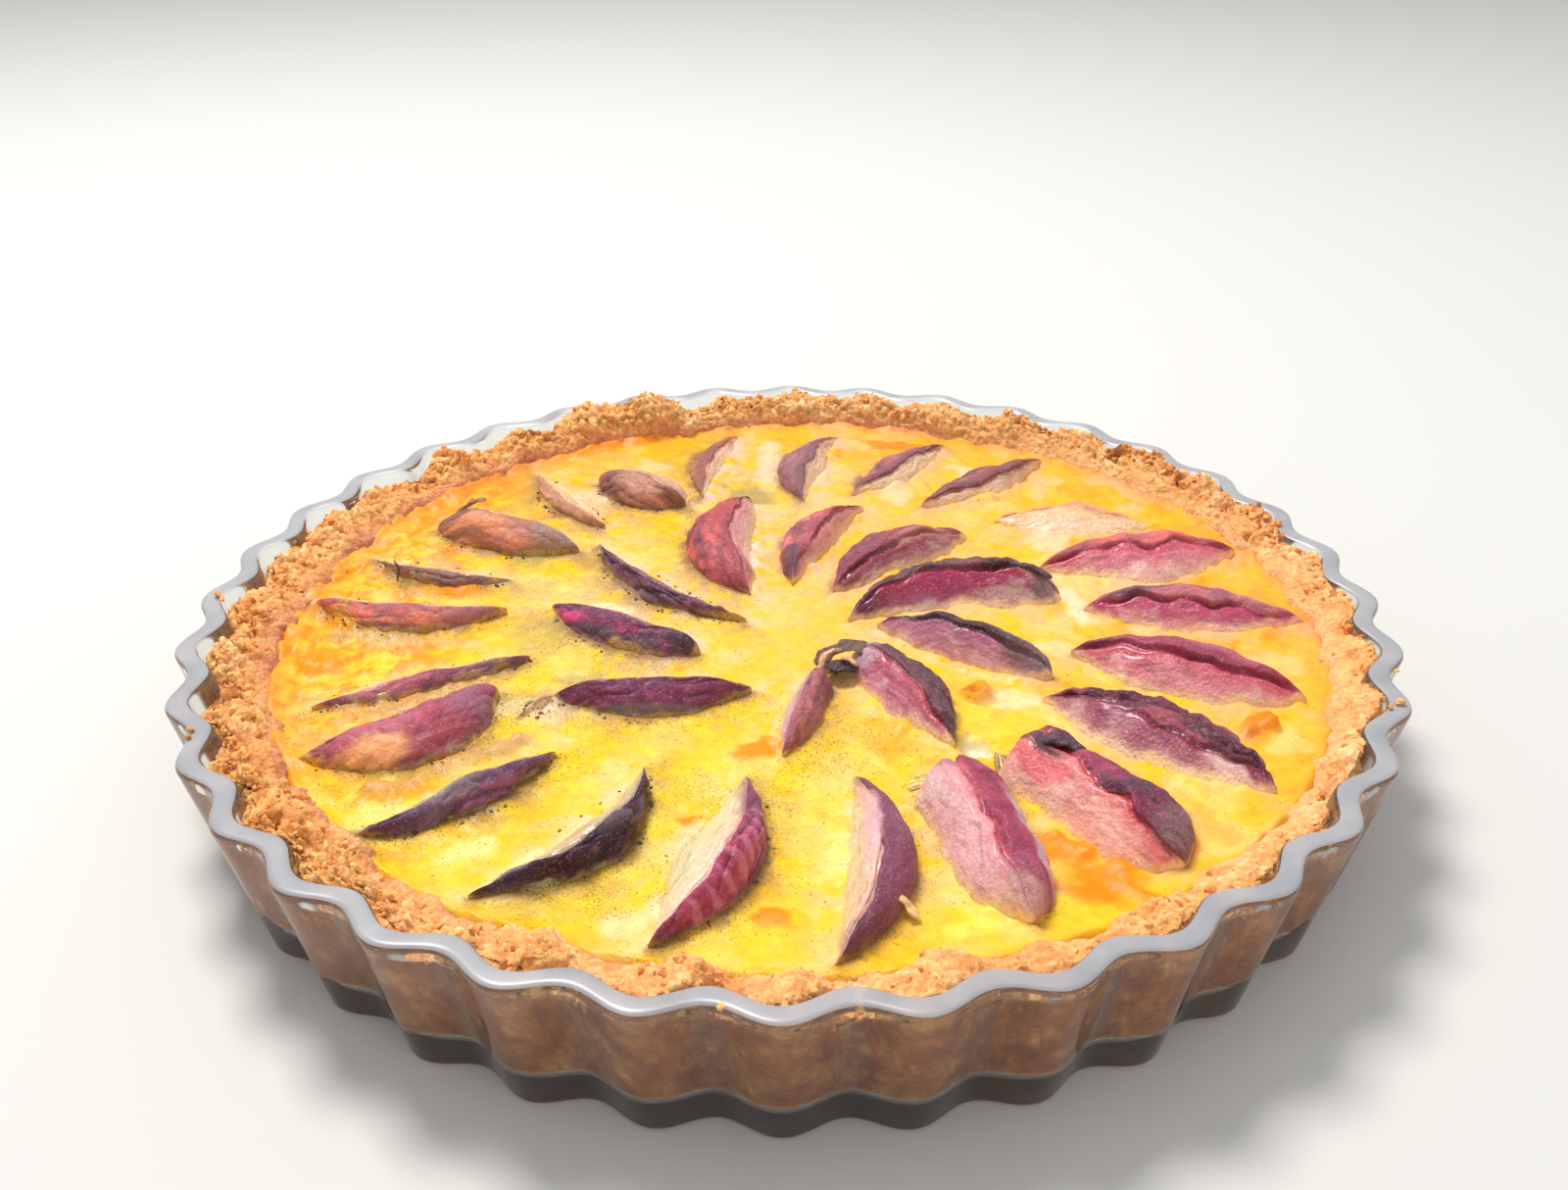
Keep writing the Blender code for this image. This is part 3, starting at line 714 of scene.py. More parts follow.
def around_slice(x, y, spec):
    """Signed distance in mm from a slice's foot line, outside above 0, and its share that
    lies on the skin's side."""
    turn, angle = np.radians(spec.turn), np.radians(spec.turn + spec.twist)
    dx, dy = x - spec.out * np.cos(turn), y - spec.out * np.sin(turn)
    own_x = dx * np.cos(angle) + dy * np.sin(angle)
    own_y = dy * np.cos(angle) - dx * np.sin(angle)
    half = spec.length / 2
    along = np.clip(own_x / half, -0.995, 0.995)
    wide = spec.width / 2 * taper(along, spec.inner, spec.outer)[1]
    middle = spec.bow * (1 - along ** 2)
    off = np.abs(own_y - middle) - wide
    past = np.maximum(np.abs(own_x) - half, 0)
    away = np.where(past > 0, np.hypot(past, np.maximum(off, 0)), off * 0.9)
    return away, ease(own_y - middle, -1.5, 1.5)


# ---- custard -------------------------------------------------------------------------
# Egg custard poured round the slices and baked until it set: bright yellow, smooth in the
# middle, with orange curds, pale creamy streaks and grey juice by the fruit. Peppery brown
# specks of skin and spice gathered along the slices' skins.

CUSTARD_RADIUS = 124.0          # it reaches a little way into the case
CUSTARD_SHORE = 121.4           # and shows about this far out
CUSTARD_COLUMNS = 640
CUSTARD_RINGS = 146
CUSTARD_BOTTOM = 9.6
CUSTARD_EYE = 1.2               # radius of its smallest ring
CUSTARD_TAPER = 7.5             # how much narrower it is down there
SLICE_BED = 3.4                 # how far it sinks below a slice
# Patches of its surface: (x, y, half length, half width, turn in degrees, colour,
# strength, rise). All but the turn and colour are in mm.
PATCHES = (
    # orange curds and yolk
    (-108, -19, 8, 6, 10, "f49008", 0.9, 0.9), (-104, -22, 4, 2.6, 0, "f49c5c", 0.85, 0.6),
    (-114, 10, 3, 9, 0, "f49c10", 0.85, 0.6), (-109, 0, 6, 9, 0, "f4a010", 0.8, 0.7),
    (-83, 15, 7, 3.5, 0, "f08c04", 0.95, 0.6), (-6, -54, 7, 4, 20, "f88c06", 1.0, 0.5),
    (59, -94, 15, 9.5, -50, "fc8a00", 1.0, 0.5), (69, -84, 10, 8, 0, "ff9200", 1.0, 0.3),
    (-79, -69, 10, 4, 10, "f4a008", 0.95, 0.7), (-52, 107, 20, 4, 28, "f09820", 0.85, 0.3),
    (32, 107, 13, 4, -16, "f09018", 0.9, 0.4), (109, 42, 10, 15, 25, "f8a83c", 0.7, 0.2),
    (20, 100, 8, 4, -10, "ffb030", 0.7, 0.2), (-19, -78, 4, 3, 0, "f88810", 1.0, 0.3),
    (-2.5, -105, 5, 3.5, 0, "f48c10", 1.0, 0.2), (-97, -59, 8, 5, -30, "f4a808", 0.85, 0.5),
    (22, -49, 7, 10, 15, "e8a428", 0.6, 0.3), (116, 5, 3, 12, 0, "f8a838", 0.85, 0.2),
    (94, -16, 9, 4, -10, "ffac18", 0.8, 0.2), (100, 27, 9, 3, 18, "f0a050", 0.8, 0.2),
    (112, -30, 4, 10, 10, "fcc84c", 0.5, 0.1),
    # grey juice
    (-59, -7, 9, 12, 0, "b4a868", 0.5, -0.5), (-47, -25, 7, 4, 10, "a89c68", 0.6, -0.4),
    (-11, 72, 7, 9, 0, "a09858", 0.75, -0.4), (-60, 15, 11, 7, 0, "c4b878", 0.5, -0.3),
    (-72, -40, 12, 5, 30, "ccb070", 0.7, -0.3), (-66, 34, 8, 4, 20, "bcae68", 0.7, -0.3),
    # pale cream
    (-44, 7, 6, 3, 0, "f6ecc0", 0.7, 0.1), (-59, -37, 7, 3, 30, "e8d8b8", 0.7, 0.1),
    (-55, 69, 6, 8, 30, "f2dcb0", 0.7, 0.1), (-6, 93, 4, 17, 0, "f6e4b8", 0.7, 0.1),
    (50, 89, 5, 8, 30, "f4e4b4", 0.7, 0.1), (70, 8, 3, 12, 10, "f6e8c0", 0.7, 0.1),
    (49, -33, 8, 4, 0, "f2d8b4", 0.7, 0.1), (-28, -108, 6, 3, 20, "ecd4b0", 0.7, 0.1),
    (-10.5, -107, 4, 2, 30, "80646c", 0.6, 0.1), (70, 45, 8, 5, 40, "f4e2b4", 0.6, 0.1),
    (62, -12, 10, 3, -8, "f6d8a4", 0.7, 0.1), (30, 75, 8, 5, 60, "efdcac", 0.6, 0.0),
    (8, 88, 4, 8, 0, "ece0b4", 0.6, 0.0), (-78, 50, 12, 4, -30, "f4e0a4", 0.6, 0.1),
    (-40, 92, 6, 5, 0, "f2dca0", 0.6, 0.1),
    # a hollow between slices 21 and 22: its wet floor painted pale grey-white as a
    # reflection, and a brown patch beside it
    (40.5, -52.5, 3.6, 5, 20, "dce0dc", 0.95, -2.2), (46, -60, 3.4, 6, 0, "8a5c28", 0.9, -1.8),
    # cream and light yolk
    (78, -55, 12, 3, -25, "f0c8a0", 0.6, 0.1), (86, -40, 6, 3, 0, "f2d4a0", 0.5, 0.1),
    (-32, -62, 8, 3, -40, "f0e09c", 0.4, 0.1), (10, -90, 5, 9, 0, "ffec9c", 0.5, 0.2),
    (-44, -92, 10, 5, 25, "f6e6b8", 0.85, 0.2), (-60, -86, 7, 4, 25, "f2dca8", 0.7, 0.1),
    (35, -108, 10, 2.5, 15, "ffe468", 0.5, 0.2), (88, -70, 6, 8, -20, "f6dc7c", 0.5, 0.2),
    # crumbly tan bands beside slices 5 to 7
    (-71, -61, 21, 3.6, 36, "c89878", 0.8, 0.9), (-79, -34, 21, 2.8, 26, "cc9c88", 0.75, 0.7),
    (-90, -9, 19, 3.0, -4, "d2b49c", 0.7, 0.6),
    # two toasted curds
    (42, -31, 3.6, 4.6, 10, "ee9614", 0.95, 1.8), (40.5, -31, 1.2, 2.4, 30, "b46410", 0.8, -1.4),
    (101, -45, 5.5, 3.6, 65, "ea8814", 0.95, 2.2), (99, -48, 2.5, 1.2, 40, "b86418", 0.7, -0.8),
)


def spot(x, y, at_x, at_y, half, wide, turn):
    """Distance from a turned ellipse's middle, 1 on its edge."""
    c, s = np.cos(np.radians(turn)), np.sin(np.radians(turn))
    along, across = (x - at_x) * c + (y - at_y) * s, (y - at_y) * c - (x - at_x) * s
    return np.sqrt((along / half) ** 2 + (across / wide) ** 2)


def custard_at(x, y):
    """The custard's rise above its level in mm, its colour and its peppering at points.

    Slow and fine waves give the base; what lies round each slice, then each patch, is
    blended in by how near the point is, with a wandering edge.
    """
    flat = np.stack([x, y, 0 * x], -1)
    out = np.hypot(x, y)
    edge = CUSTARD_SHORE - np.hypot(x - CRUST_OFFSET, y)
    by_fruit = ease(out, 8, 32)
    warm_side = ease(-x, 55, 110) * ease(y, -60, -20)
    broad, cloudy, fine = fractal(flat, 24, 72), fractal(flat, 6, 73, 4), fractal(flat, 2.0, 74)
    wander, ragged, small = fractal(flat, 7, 75), fractal(flat, 3.5, 76), fractal(flat, 4, 82, 4)
    rise = by_fruit * (0.55 * fractal(flat, 26, 70) + (0.25 + 0.25 * ease(out, 60, 100)) * cloudy
                       + 0.12 * fine)
    wrinkled = (1 - np.abs(fractal(flat + 3 * waves(flat, 9, 68)[..., None], 7, 69))) ** 3
    rise = rise + 0.45 * (wrinkled - 0.5) * ease(fractal(flat, 20, 67), -0.2, 0.4) * by_fruit
    rise = rise + 1.5 * np.exp(-np.maximum(edge, 0) / 2.4) * (1 + 0.6 * ragged + 0.5 * wander)
    rise = rise - 3 * ease(-edge, 0.2, 2.0)
    lively = 0.55 + 0.6 * ease(-x, 40, 90)
    tone = 0.48 + (0.34 * broad + 0.36 * cloudy + 0.28 * fine) * lively + 0.08 * warm_side
    colour = ramp(tone, "e69a10", "e8b016", "ecc01c", "eec828", "eed058", "eed890")
    colour = blend(colour, "e8c244", 0.75 * (1 - by_fruit))
    creamy = ease(fractal(flat, 13, 66, 5), 0.12, 0.4) * by_fruit * (1 - ease(-x, 50, 85))
    colour = blend(colour, "f0d88c", (0.35 + 0.3 * ease(x, 40, 90)) * creamy)
    orange = ease(fractal(flat, 13, 83, 5) + 0.08 * warm_side, 0.26, 0.6) * ease(out, 70, 105)
    colour = blend(colour, "f0940c", (0.25 + 0.5 * warm_side + 0.3 * ease(x, 60, 100)) * orange)
    freckles = ease(fractal(flat, 2.4, 85), 0.25, 0.6) * ease(fractal(flat, 16, 87), 0, 0.4)
    colour = blend(colour, "d88414", 0.5 * freckles * by_fruit)
    curdled = ease(-x, 72, 100) * ease(y, -75, -40) * ease(fractal(flat, 4.5, 84, 4), -0.1, 0.4)
    rise = rise + 0.95 * curdled
    colour = blend(colour, "e8800c", 0.75 * curdled * (1 - curdled) * 4)
    crust_wash = np.exp(-np.maximum(edge, 0) / (3 + 3 * ease(-x, 20, 100)))
    crust_wash = crust_wash * (0.8 + 0.6 * fractal(flat, 12, 77)) * (1 - 0.65 * ease(-y, 40, 90))
    colour = blend(colour, ramp(0.5 + 0.5 * fractal(flat, 18, 78), "c87c5c", "e89438", "dc9058"),
                   0.85 * crust_wash)
    clusters = ease(fractal(flat, 9, 80, 4), 0.05, 0.55)
    peppered = 0.01 + 0.12 * ease(fractal(flat, 22, 79, 4), 0.15, 0.6) * ease(fine, 0, 0.4)
    peppered = peppered + 0.4 * ease(-y, -10, 90) * clusters * ease(-x, -50, 10)
    crowded = 1 - ease(spot(x, y, 15, -53, 15, 11, 10) + 0.4 * wander, 0.5, 1.3)
    peppered = peppered + 0.5 * crowded * ease(fine, -0.3, 0.4)
    for spec in SLICES:
        away, skin_side = around_slice(x, y, spec)
        outside = np.maximum(away, 0)
        left_side = ease(-np.cos(np.radians(spec.turn)), -0.5, 0.3)
        dark = srgb(spec.colours.split()[1])
        loose = 1 + 0.6 * wander
        haze = np.exp(-outside / ((3.0 + 1.6 * left_side) * loose))
        mixed_in = ease(small, -0.6, 0.5)
        grey = blend(srgb("dca07c"), "987a5c", np.array(left_side))
        cream = blend(srgb("ecc098"), "f0dad8", np.array(left_side))
        colour = blend(colour, grey, (0.6 + 0.3 * left_side) * haze ** 1.5 * skin_side * mixed_in)
        pale_haze = np.exp(-outside / ((5.2 - 1.2 * left_side) * loose))
        colour = blend(colour, cream, 0.75 * pale_haze * (1 - skin_side) * mixed_in)
        far_haze = np.exp(-outside / 6.5) * ease(small + 0.5 * wander, -0.1, 0.5) * left_side
        colour = blend(colour, "c49c58", 0.55 * far_haze * skin_side)
        fringe = np.exp(-(outside / (1.4 + 0.9 * small)) ** 2) * ease(ragged, -0.5, 0.3)
        colour = blend(colour, dark * 0.4 + srgb("846850") * 0.6, 0.8 * fringe * skin_side)
        peppered = peppered + 0.8 * haze ** 1.5 * skin_side * left_side
        peppered = peppered + 0.3 * haze ** 2 * (1 - skin_side) * ease(fine, -0.1, 0.4) * left_side
        lap = (0.4 + 0.3 * (1 - skin_side)) * (1 + 1.2 * ragged)
        rise = rise + np.maximum(lap, 0.1) * np.exp(-(outside / 1.7) ** 2)
    for at_x, at_y, half, wide, turned_by, code, strength, up in PATCHES:
        far = spot(x, y, at_x, at_y, half, wide, turned_by) - 0.5 * wander - 0.25 * ragged
        share = 1 - ease(far, 0.5, 1.15)
        colour = blend(colour, code, strength * share)
        rise = rise + up * share * (1 + 0.5 * ragged + 0.8 * cloudy)
    # Painted shade: the colour is darkened towards the back (+Y) and the right (+X); its blue is
    # also cut towards the front and the left.
    back = ease(y, -70, 20)[..., None]
    colour = colour * (1 - ease(-x, 40, 90)[..., None] * np.array((0, 0, 0.4)))
    colour = colour * ((1, 0.98, 0.72) * (1 - back) + (0.97, 0.88, 0.9) * back)
    colour = colour * (1 - ease(y, 30, 100)[..., None] * np.array((0.05, 0.12, 0.04)))
    colour = colour * (1 - ease(x, 50, 100)[..., None] * np.array((0.02, 0.1, 0)))
    return rise, colour, peppered


shares = np.linspace(0, 1, CUSTARD_RINGS) ** 0.8
ring_radius = CUSTARD_EYE + (CUSTARD_RADIUS - CUSTARD_EYE) * shares[:, None]
top = turned(ring_radius, CUSTARD_LEVEL + 0 * ring_radius, CUSTARD_COLUMNS)
top[..., 0] += CRUST_OFFSET
rise, colour, peppered = custard_at(top[..., 0], top[..., 1])
sunk = 0 * rise
for spec in SLICES:
    away = around_slice(top[..., 0], top[..., 1], spec)[0]
    sunk = np.maximum(sunk, SLICE_BED * ease(-away, 1.8, 3.4))
top[..., 2] += rise - sunk
rim = top[-1:] * (1, 1, 0) + (0, 0, 1) * np.array(CUSTARD_BOTTOM)
down = np.linspace(0.25, 1, 4)[:, None, None]
walls = down * (rim - top[-1:]) + top[-1:]
lean = down[..., 0] * CUSTARD_TAPER / CUSTARD_RADIUS
walls[..., 0] = (walls[..., 0] - CRUST_OFFSET) * (1 - lean) + CRUST_OFFSET
walls[..., 1] *= 1 - lean
base_ring = walls[-1:] * (0.5, 0.5, 1) + (CRUST_OFFSET / 2, 0, 0)
custard = closed_shell("set_custard", np.concatenate([top, walls, base_ring]))
for layer, values in (("colour", colour), ("peppered", peppered)):
    below = np.repeat(values[-1:], len(walls) + 1, 0)
    paint(custard, layer, with_poles(np.concatenate([values, below])))

# Speckle puts a dot into a share of scattered cells, each of a size of its own.
speckle, given = new_group("speckle", ("Mask", "Float"), Vector="Vector", Scale="Float",
                           Cover="Float", Size="Float")
bent = node(speckle, "ShaderNodeTexNoise", {"Vector": given["Vector"], "Scale": 500.0})
moved = node(speckle, "ShaderNodeVectorMath", {0: bent.outputs["Color"], 1: (0.0014,) * 3,
                                               2: given["Vector"]}, operation="MULTIPLY_ADD")
cells = node(speckle, "ShaderNodeTexVoronoi", {"Vector": moved.outputs[0],
                                               "Scale": given["Scale"]}).outputs
pick = node(speckle, "ShaderNodeSeparateColor", {0: cells["Color"]}).outputs
chosen = sums(speckle, "LESS_THAN", pick[0], given["Cover"])
reach = sums(speckle, "MULTIPLY", pick[1], given["Size"])
near = sums(speckle, "LESS_THAN", cells["Distance"], reach)
node(speckle, "NodeGroupOutput", {0: sums(speckle, "MULTIPLY", chosen, near)})

BROWN_SPECKS = ((2400.0, 0.62, "745228", 0.65), (3600.0, 0.85, "9c7428", 0.6))


def with_specks(tree, colour, cover, *specks):
    """Lays specks of each (cells per metre, size, shade, strength) over a colour.

    Cover is the share of cells that hold one.
    """
    for scale, size, shade, strength in specks:
        dots = node(tree, "ShaderNodeGroup", {"Vector": on_object(tree), "Cover": cover,
                                              "Scale": scale, "Size": size}, node_tree=speckle)
        amount = sums(tree, "MULTIPLY", dots.outputs["Mask"], strength)
        colour = mixed(tree, amount, colour, rgba(shade))
    return colour


egg, shader, tree, yolk = baked("set custard", "f4c43c", 0.4, (420, 0.45),
                                (420.0, 3.0, 0.35, 0.0006), (0.12, 0.004, 0.002, 0.0006))
specked = with_specks(tree, yolk, stored(tree, "peppered"), *BROWN_SPECKS)
plug(shader, {"Base Color": specked, "IOR": 1.38, "Specular IOR Level": 0.32})
place(custard, egg, "custard", "custard")


# ---- peach slices, baked -------------------------------------------------------------
# Baking wrinkled the skins, dried the edges dark and let the skin curl over the flesh,
# with a crimson crease under its lip. The custard set against their feet.

SLICE_SINK = 3.5
SLICE_ROWS = 124
FLESH, SKIN, UNDER = 34, 34, 8          # columns on each side of a slice and below it
# Stains on single slices: place along (-1 to 1), mm from the ridge (under 0 on the flesh),
# half length along, half width in mm, colour and strength.
STAINS = {
    1: ((0.9, 3, 0.18, 8, "4a2c3c", 0.35), (0.75, 5, 0.2, 3, "5a3648", 0.3),
        (-0.9, 2, 0.15, 6, "5a4450", 0.6), (-0.35, -2, 0.5, 2.5, "f0b4bc", 0.8)),
    2: ((-0.6, 4, 0.4, 7, "7a4258", 0.7), (0.35, 4, 0.5, 4, "a83454", 0.6),
        (-0.85, -3, 0.2, 6, "8a6a68", 0.6), (0.1, 6, 0.25, 2, "b85a70", 0.5)),
    3: ((0.45, 5, 0.3, 3, "3a2030", 0.6), (-0.6, 5, 0.3, 3, "645862", 0.7),
        (0.75, 0, 0.14, 9, "44304a", 0.7), (-0.1, 2, 0.2, 1.5, "786a74", 0.5)),
    4: ((0.1, 1, 0.22, 2.5, "8a7c80", 0.6), (0.7, 2, 0.3, 4, "54344a", 0.5)),
    5: ((0.55, 9, 0.45, 5, "eca468", 0.9), (-0.2, 10, 0.35, 3.5, "983c48", 0.7),
        (-0.6, 3, 0.25, 5, "986070", 0.6), (0.2, 2, 0.4, 2, "c06a78", 0.5),
        (-0.75, 9, 0.2, 4, "7a6a68", 0.5)),
    6: ((-0.8, 1, 0.25, 4, "705870", 0.6), (0.3, 1, 0.4, 2, "c0606a", 0.5)),
    7: ((0.5, 3, 0.3, 3, "d2684e", 0.8), (-0.7, 2, 0.3, 4, "9a6470", 0.6),
        (0.0, 7, 0.7, 1.2, "5a3c46", 0.6), (0.05, 2, 0.2, 2.5, "b05a60", 0.6)),
    8: ((0, 4, 0.8, 1.2, "5f464b", 0.7),),
    9: ((-0.7, 4, 0.3, 9, "9a8278", 0.75), (0.25, 5, 0.4, 4, "dc8c60", 0.7),
        (0.75, -1, 0.2, 5, "7a4c40", 0.8), (0.5, 8, 0.4, 1.5, "704840", 0.6)),
    11: ((0, 3, 0.5, 3, "cd967d", 0.6), (0.5, 8, 0.4, 2, "6a4440", 0.6)),
    12: ((0.75, 1, 0.25, 3, "a5583c", 0.8), (0, 2, 0.6, 1.5, "7c4c48", 0.5)),
    17: ((-0.7, 1, 0.3, 3, "80405c", 0.6), (0.75, 1, 0.25, 3, "7a3a50", 0.6),
        (0.1, 4, 0.3, 2, "d07a88", 0.5)),
    18: ((-0.55, 1.5, 0.35, 3, "5e4458", 0.8), (0.45, 1, 0.2, 2, "d08078", 0.6)),
    19: ((0.3, 2, 0.4, 3, "c87080", 0.5), (-0.8, 1, 0.2, 3, "74405c", 0.6)),
    20: ((0.5, -1, 0.4, 2.5, "40182c", 0.8), (-0.4, 1, 0.3, 1.5, "45162a", 0.7),
        (0.75, 4, 0.3, 3, "8a6468", 0.6), (0.7, -6, 0.35, 2, "ecc0b4", 0.7)),
    21: ((-0.75, 1, 0.35, 2, "3c2430", 0.9), (0.3, 4, 0.3, 4, "50283c", 0.7),
        (0.8, 6, 0.25, 7, "856060", 0.8), (-0.6, -3, 0.4, 3, "dc5460", 0.7),
        (0.3, -8, 0.5, 5, "eca894", 0.5), (-0.2, 6, 0.3, 3, "b04464", 0.6)),
    22: ((-0.95, 0, 0.15, 3, "9c5064", 0.5), (-0.2, -7, 0.5, 4, "f0a8ac", 0.5),
        (0.9, -4, 0.2, 9, "e6bcaa", 0.8), (0.8, 4, 0.25, 5, "a06070", 0.5),
        (0.2, 12.5, 0.8, 3, "ccb4bc", 0.8)),
    23: ((0, 5, 1, 1.2, "786978", 0.6),),
    24: ((0, 6, 0.9, 1.4, "5c4c58", 0.8), (-0.85, 2, 0.25, 8, "3c3038", 0.85),
        (-0.45, 5, 0.3, 2, "4a3440", 0.7)),
    25: ((0, 7.5, 0.9, 1.3, "7d6e78", 0.75), (0, 3, 0.5, 2, "84385a", 0.5)),
    27: ((0, 3, 0.9, 3, "5c4048", 0.6), (-0.75, -3, 0.3, 4, "c4a4b4", 0.7),
        (-0.95, 0, 0.2, 6, "5c4850", 0.6), (0.6, -5, 0.3, 2, "e0b0b4", 0.6)),
    28: ((0.75, 2, 0.35, 8, "80686f", 0.75), (0, 0, 0.6, 1.0, "34202c", 0.7)),
    29: ((0.88, 0, 0.2, 13, "a47c7c", 0.9), (0.8, -6, 0.08, 4, "5c3c44", 0.6),
        (0.5, 0, 0.2, 1.5, "3c2c34", 0.8), (-0.2, 0.8, 0.3, 1.5, "5a4648", 0.8),
        (0, -4, 0.4, 3, "a42c58", 0.6), (0.5, -8, 0.3, 2, "e0ccb0", 0.35),
        (-0.85, -3, 0.2, 5, "5c2c48", 0.7)),
    30: ((0.5, -1, 0.5, 2.5, "bc7c72", 0.7), (-0.7, 3, 0.3, 5, "8a3c50", 0.6),
        (-0.3, 6, 0.4, 3, "845060", 0.5)),
    31: ((-0.75, 4, 0.3, 5, "543844", 0.8), (0.4, 3, 0.4, 2, "c05c60", 0.5)),
    32: ((-0.7, 3, 0.35, 7, "9c4c54", 0.7), (0.3, 4, 0.5, 4, "c05050", 0.6),
        (0.85, 2, 0.15, 5, "68343c", 0.8), (-0.8, -4, 0.25, 4, "c05c60", 0.7),
        (-0.3, 9, 0.4, 2, "6a3c4c", 0.6)),
}
# Pale bands cross the skin of slice 2.
STAINS[2] += tuple((-0.4 + 0.15 * n, 4.5, 0.032, 4, "d4869a", 0.5) for n in range(8))
# How far in mm a slice's skin edge slants across it, from its middle to its outer end.
SLANTS = {21: 5.0, 1: -2.0}


def slice_grid(spec):
    """Rows of a slice's surface before its fine relief, and each point's place on it.

    Its flesh rises from its foot as one minus a power of 1.25, its skin falls as a
    superellipse, and its underside is a shallow tray.
    """
    number, length, width, ridge = spec.number, spec.length, spec.width, spec.ridge
    power = 2 / spec.roundness
    even = np.linspace(-1, 1, SLICE_ROWS + 2)[1:-1, None]
    along = 0.7 * even + 0.3 * np.sin(np.pi / 2 * even)
    left, size = taper(along, spec.inner, spec.outer)
    far = (1 - np.linspace(0, 1, FLESH, endpoint=False)) ** 1.2
    bend = np.pi / 2 * np.linspace(0, 1, SKIN, endpoint=False) ** 1.3
    under = np.linspace(0, 1, UNDER, endpoint=False)
    station = np.stack([along * length / 2, 0 * along, 0 * along + 10 * number], -1)
    notch = waves(station, 6, 40) * 0.6 + waves(station, 2.3, 41) * 0.4
    top = ridge + 0.06 * notch
    foot = 0.8 * fractal(station, 8, 42) / width
    far, bend = far[None], bend[None]
    across = np.concatenate([
        top - (top + foot) * far,
        top + (1 - top + foot) * np.sin(bend) ** power,
        np.interp(under, (0, 0.3, 0.7, 1), (1, 0.88, 0.12, 0))[None] + 0 * top], 1)
    up = np.concatenate([
        1 - far ** 1.25 + 0 * top, np.cos(bend) ** power + 0 * top,
        np.interp(under, (0, 0.3, 0.7, 1), (0, -1, -1, 0))[None] + 0 * top], 1)
    skirt = np.concatenate([far ** 5, np.sin(bend) ** 8, 1 + 0 * under[None]], 1)
    crest = spec.height * (1 + 0.13 * waves(station, 7, 43) + 0.06 * notch)
    tall = np.where(up > 0, crest, SLICE_SINK)
    local = np.stack([
        along * length / 2 + 0 * up,
        (across - 0.5) * width * size + spec.bow * (1 - along ** 2),
        up * tall * left ** 0.65 + 1.0 * along ** 4 - 1.2 * skirt], -1)
    around = local + (0, 0, 30 * number)
    local = local + size[..., None] * np.stack([fractal(around, 13, 44 + n, 2)
                                                for n in range(3)], -1)
    return local, along + 0 * up, size + 0 * up


def laid(local, spec):
    """Turns a slice's own coordinates to its place on the custard."""
    turn, angle = np.radians(spec.turn), np.radians(spec.turn + spec.twist)
    x, y = local[..., 0], local[..., 1]
    return np.stack([spec.out * np.cos(turn) + x * np.cos(angle) - y * np.sin(angle),
                     spec.out * np.sin(turn) + x * np.sin(angle) + y * np.cos(angle),
                     CUSTARD_LEVEL + local[..., 2]], -1)


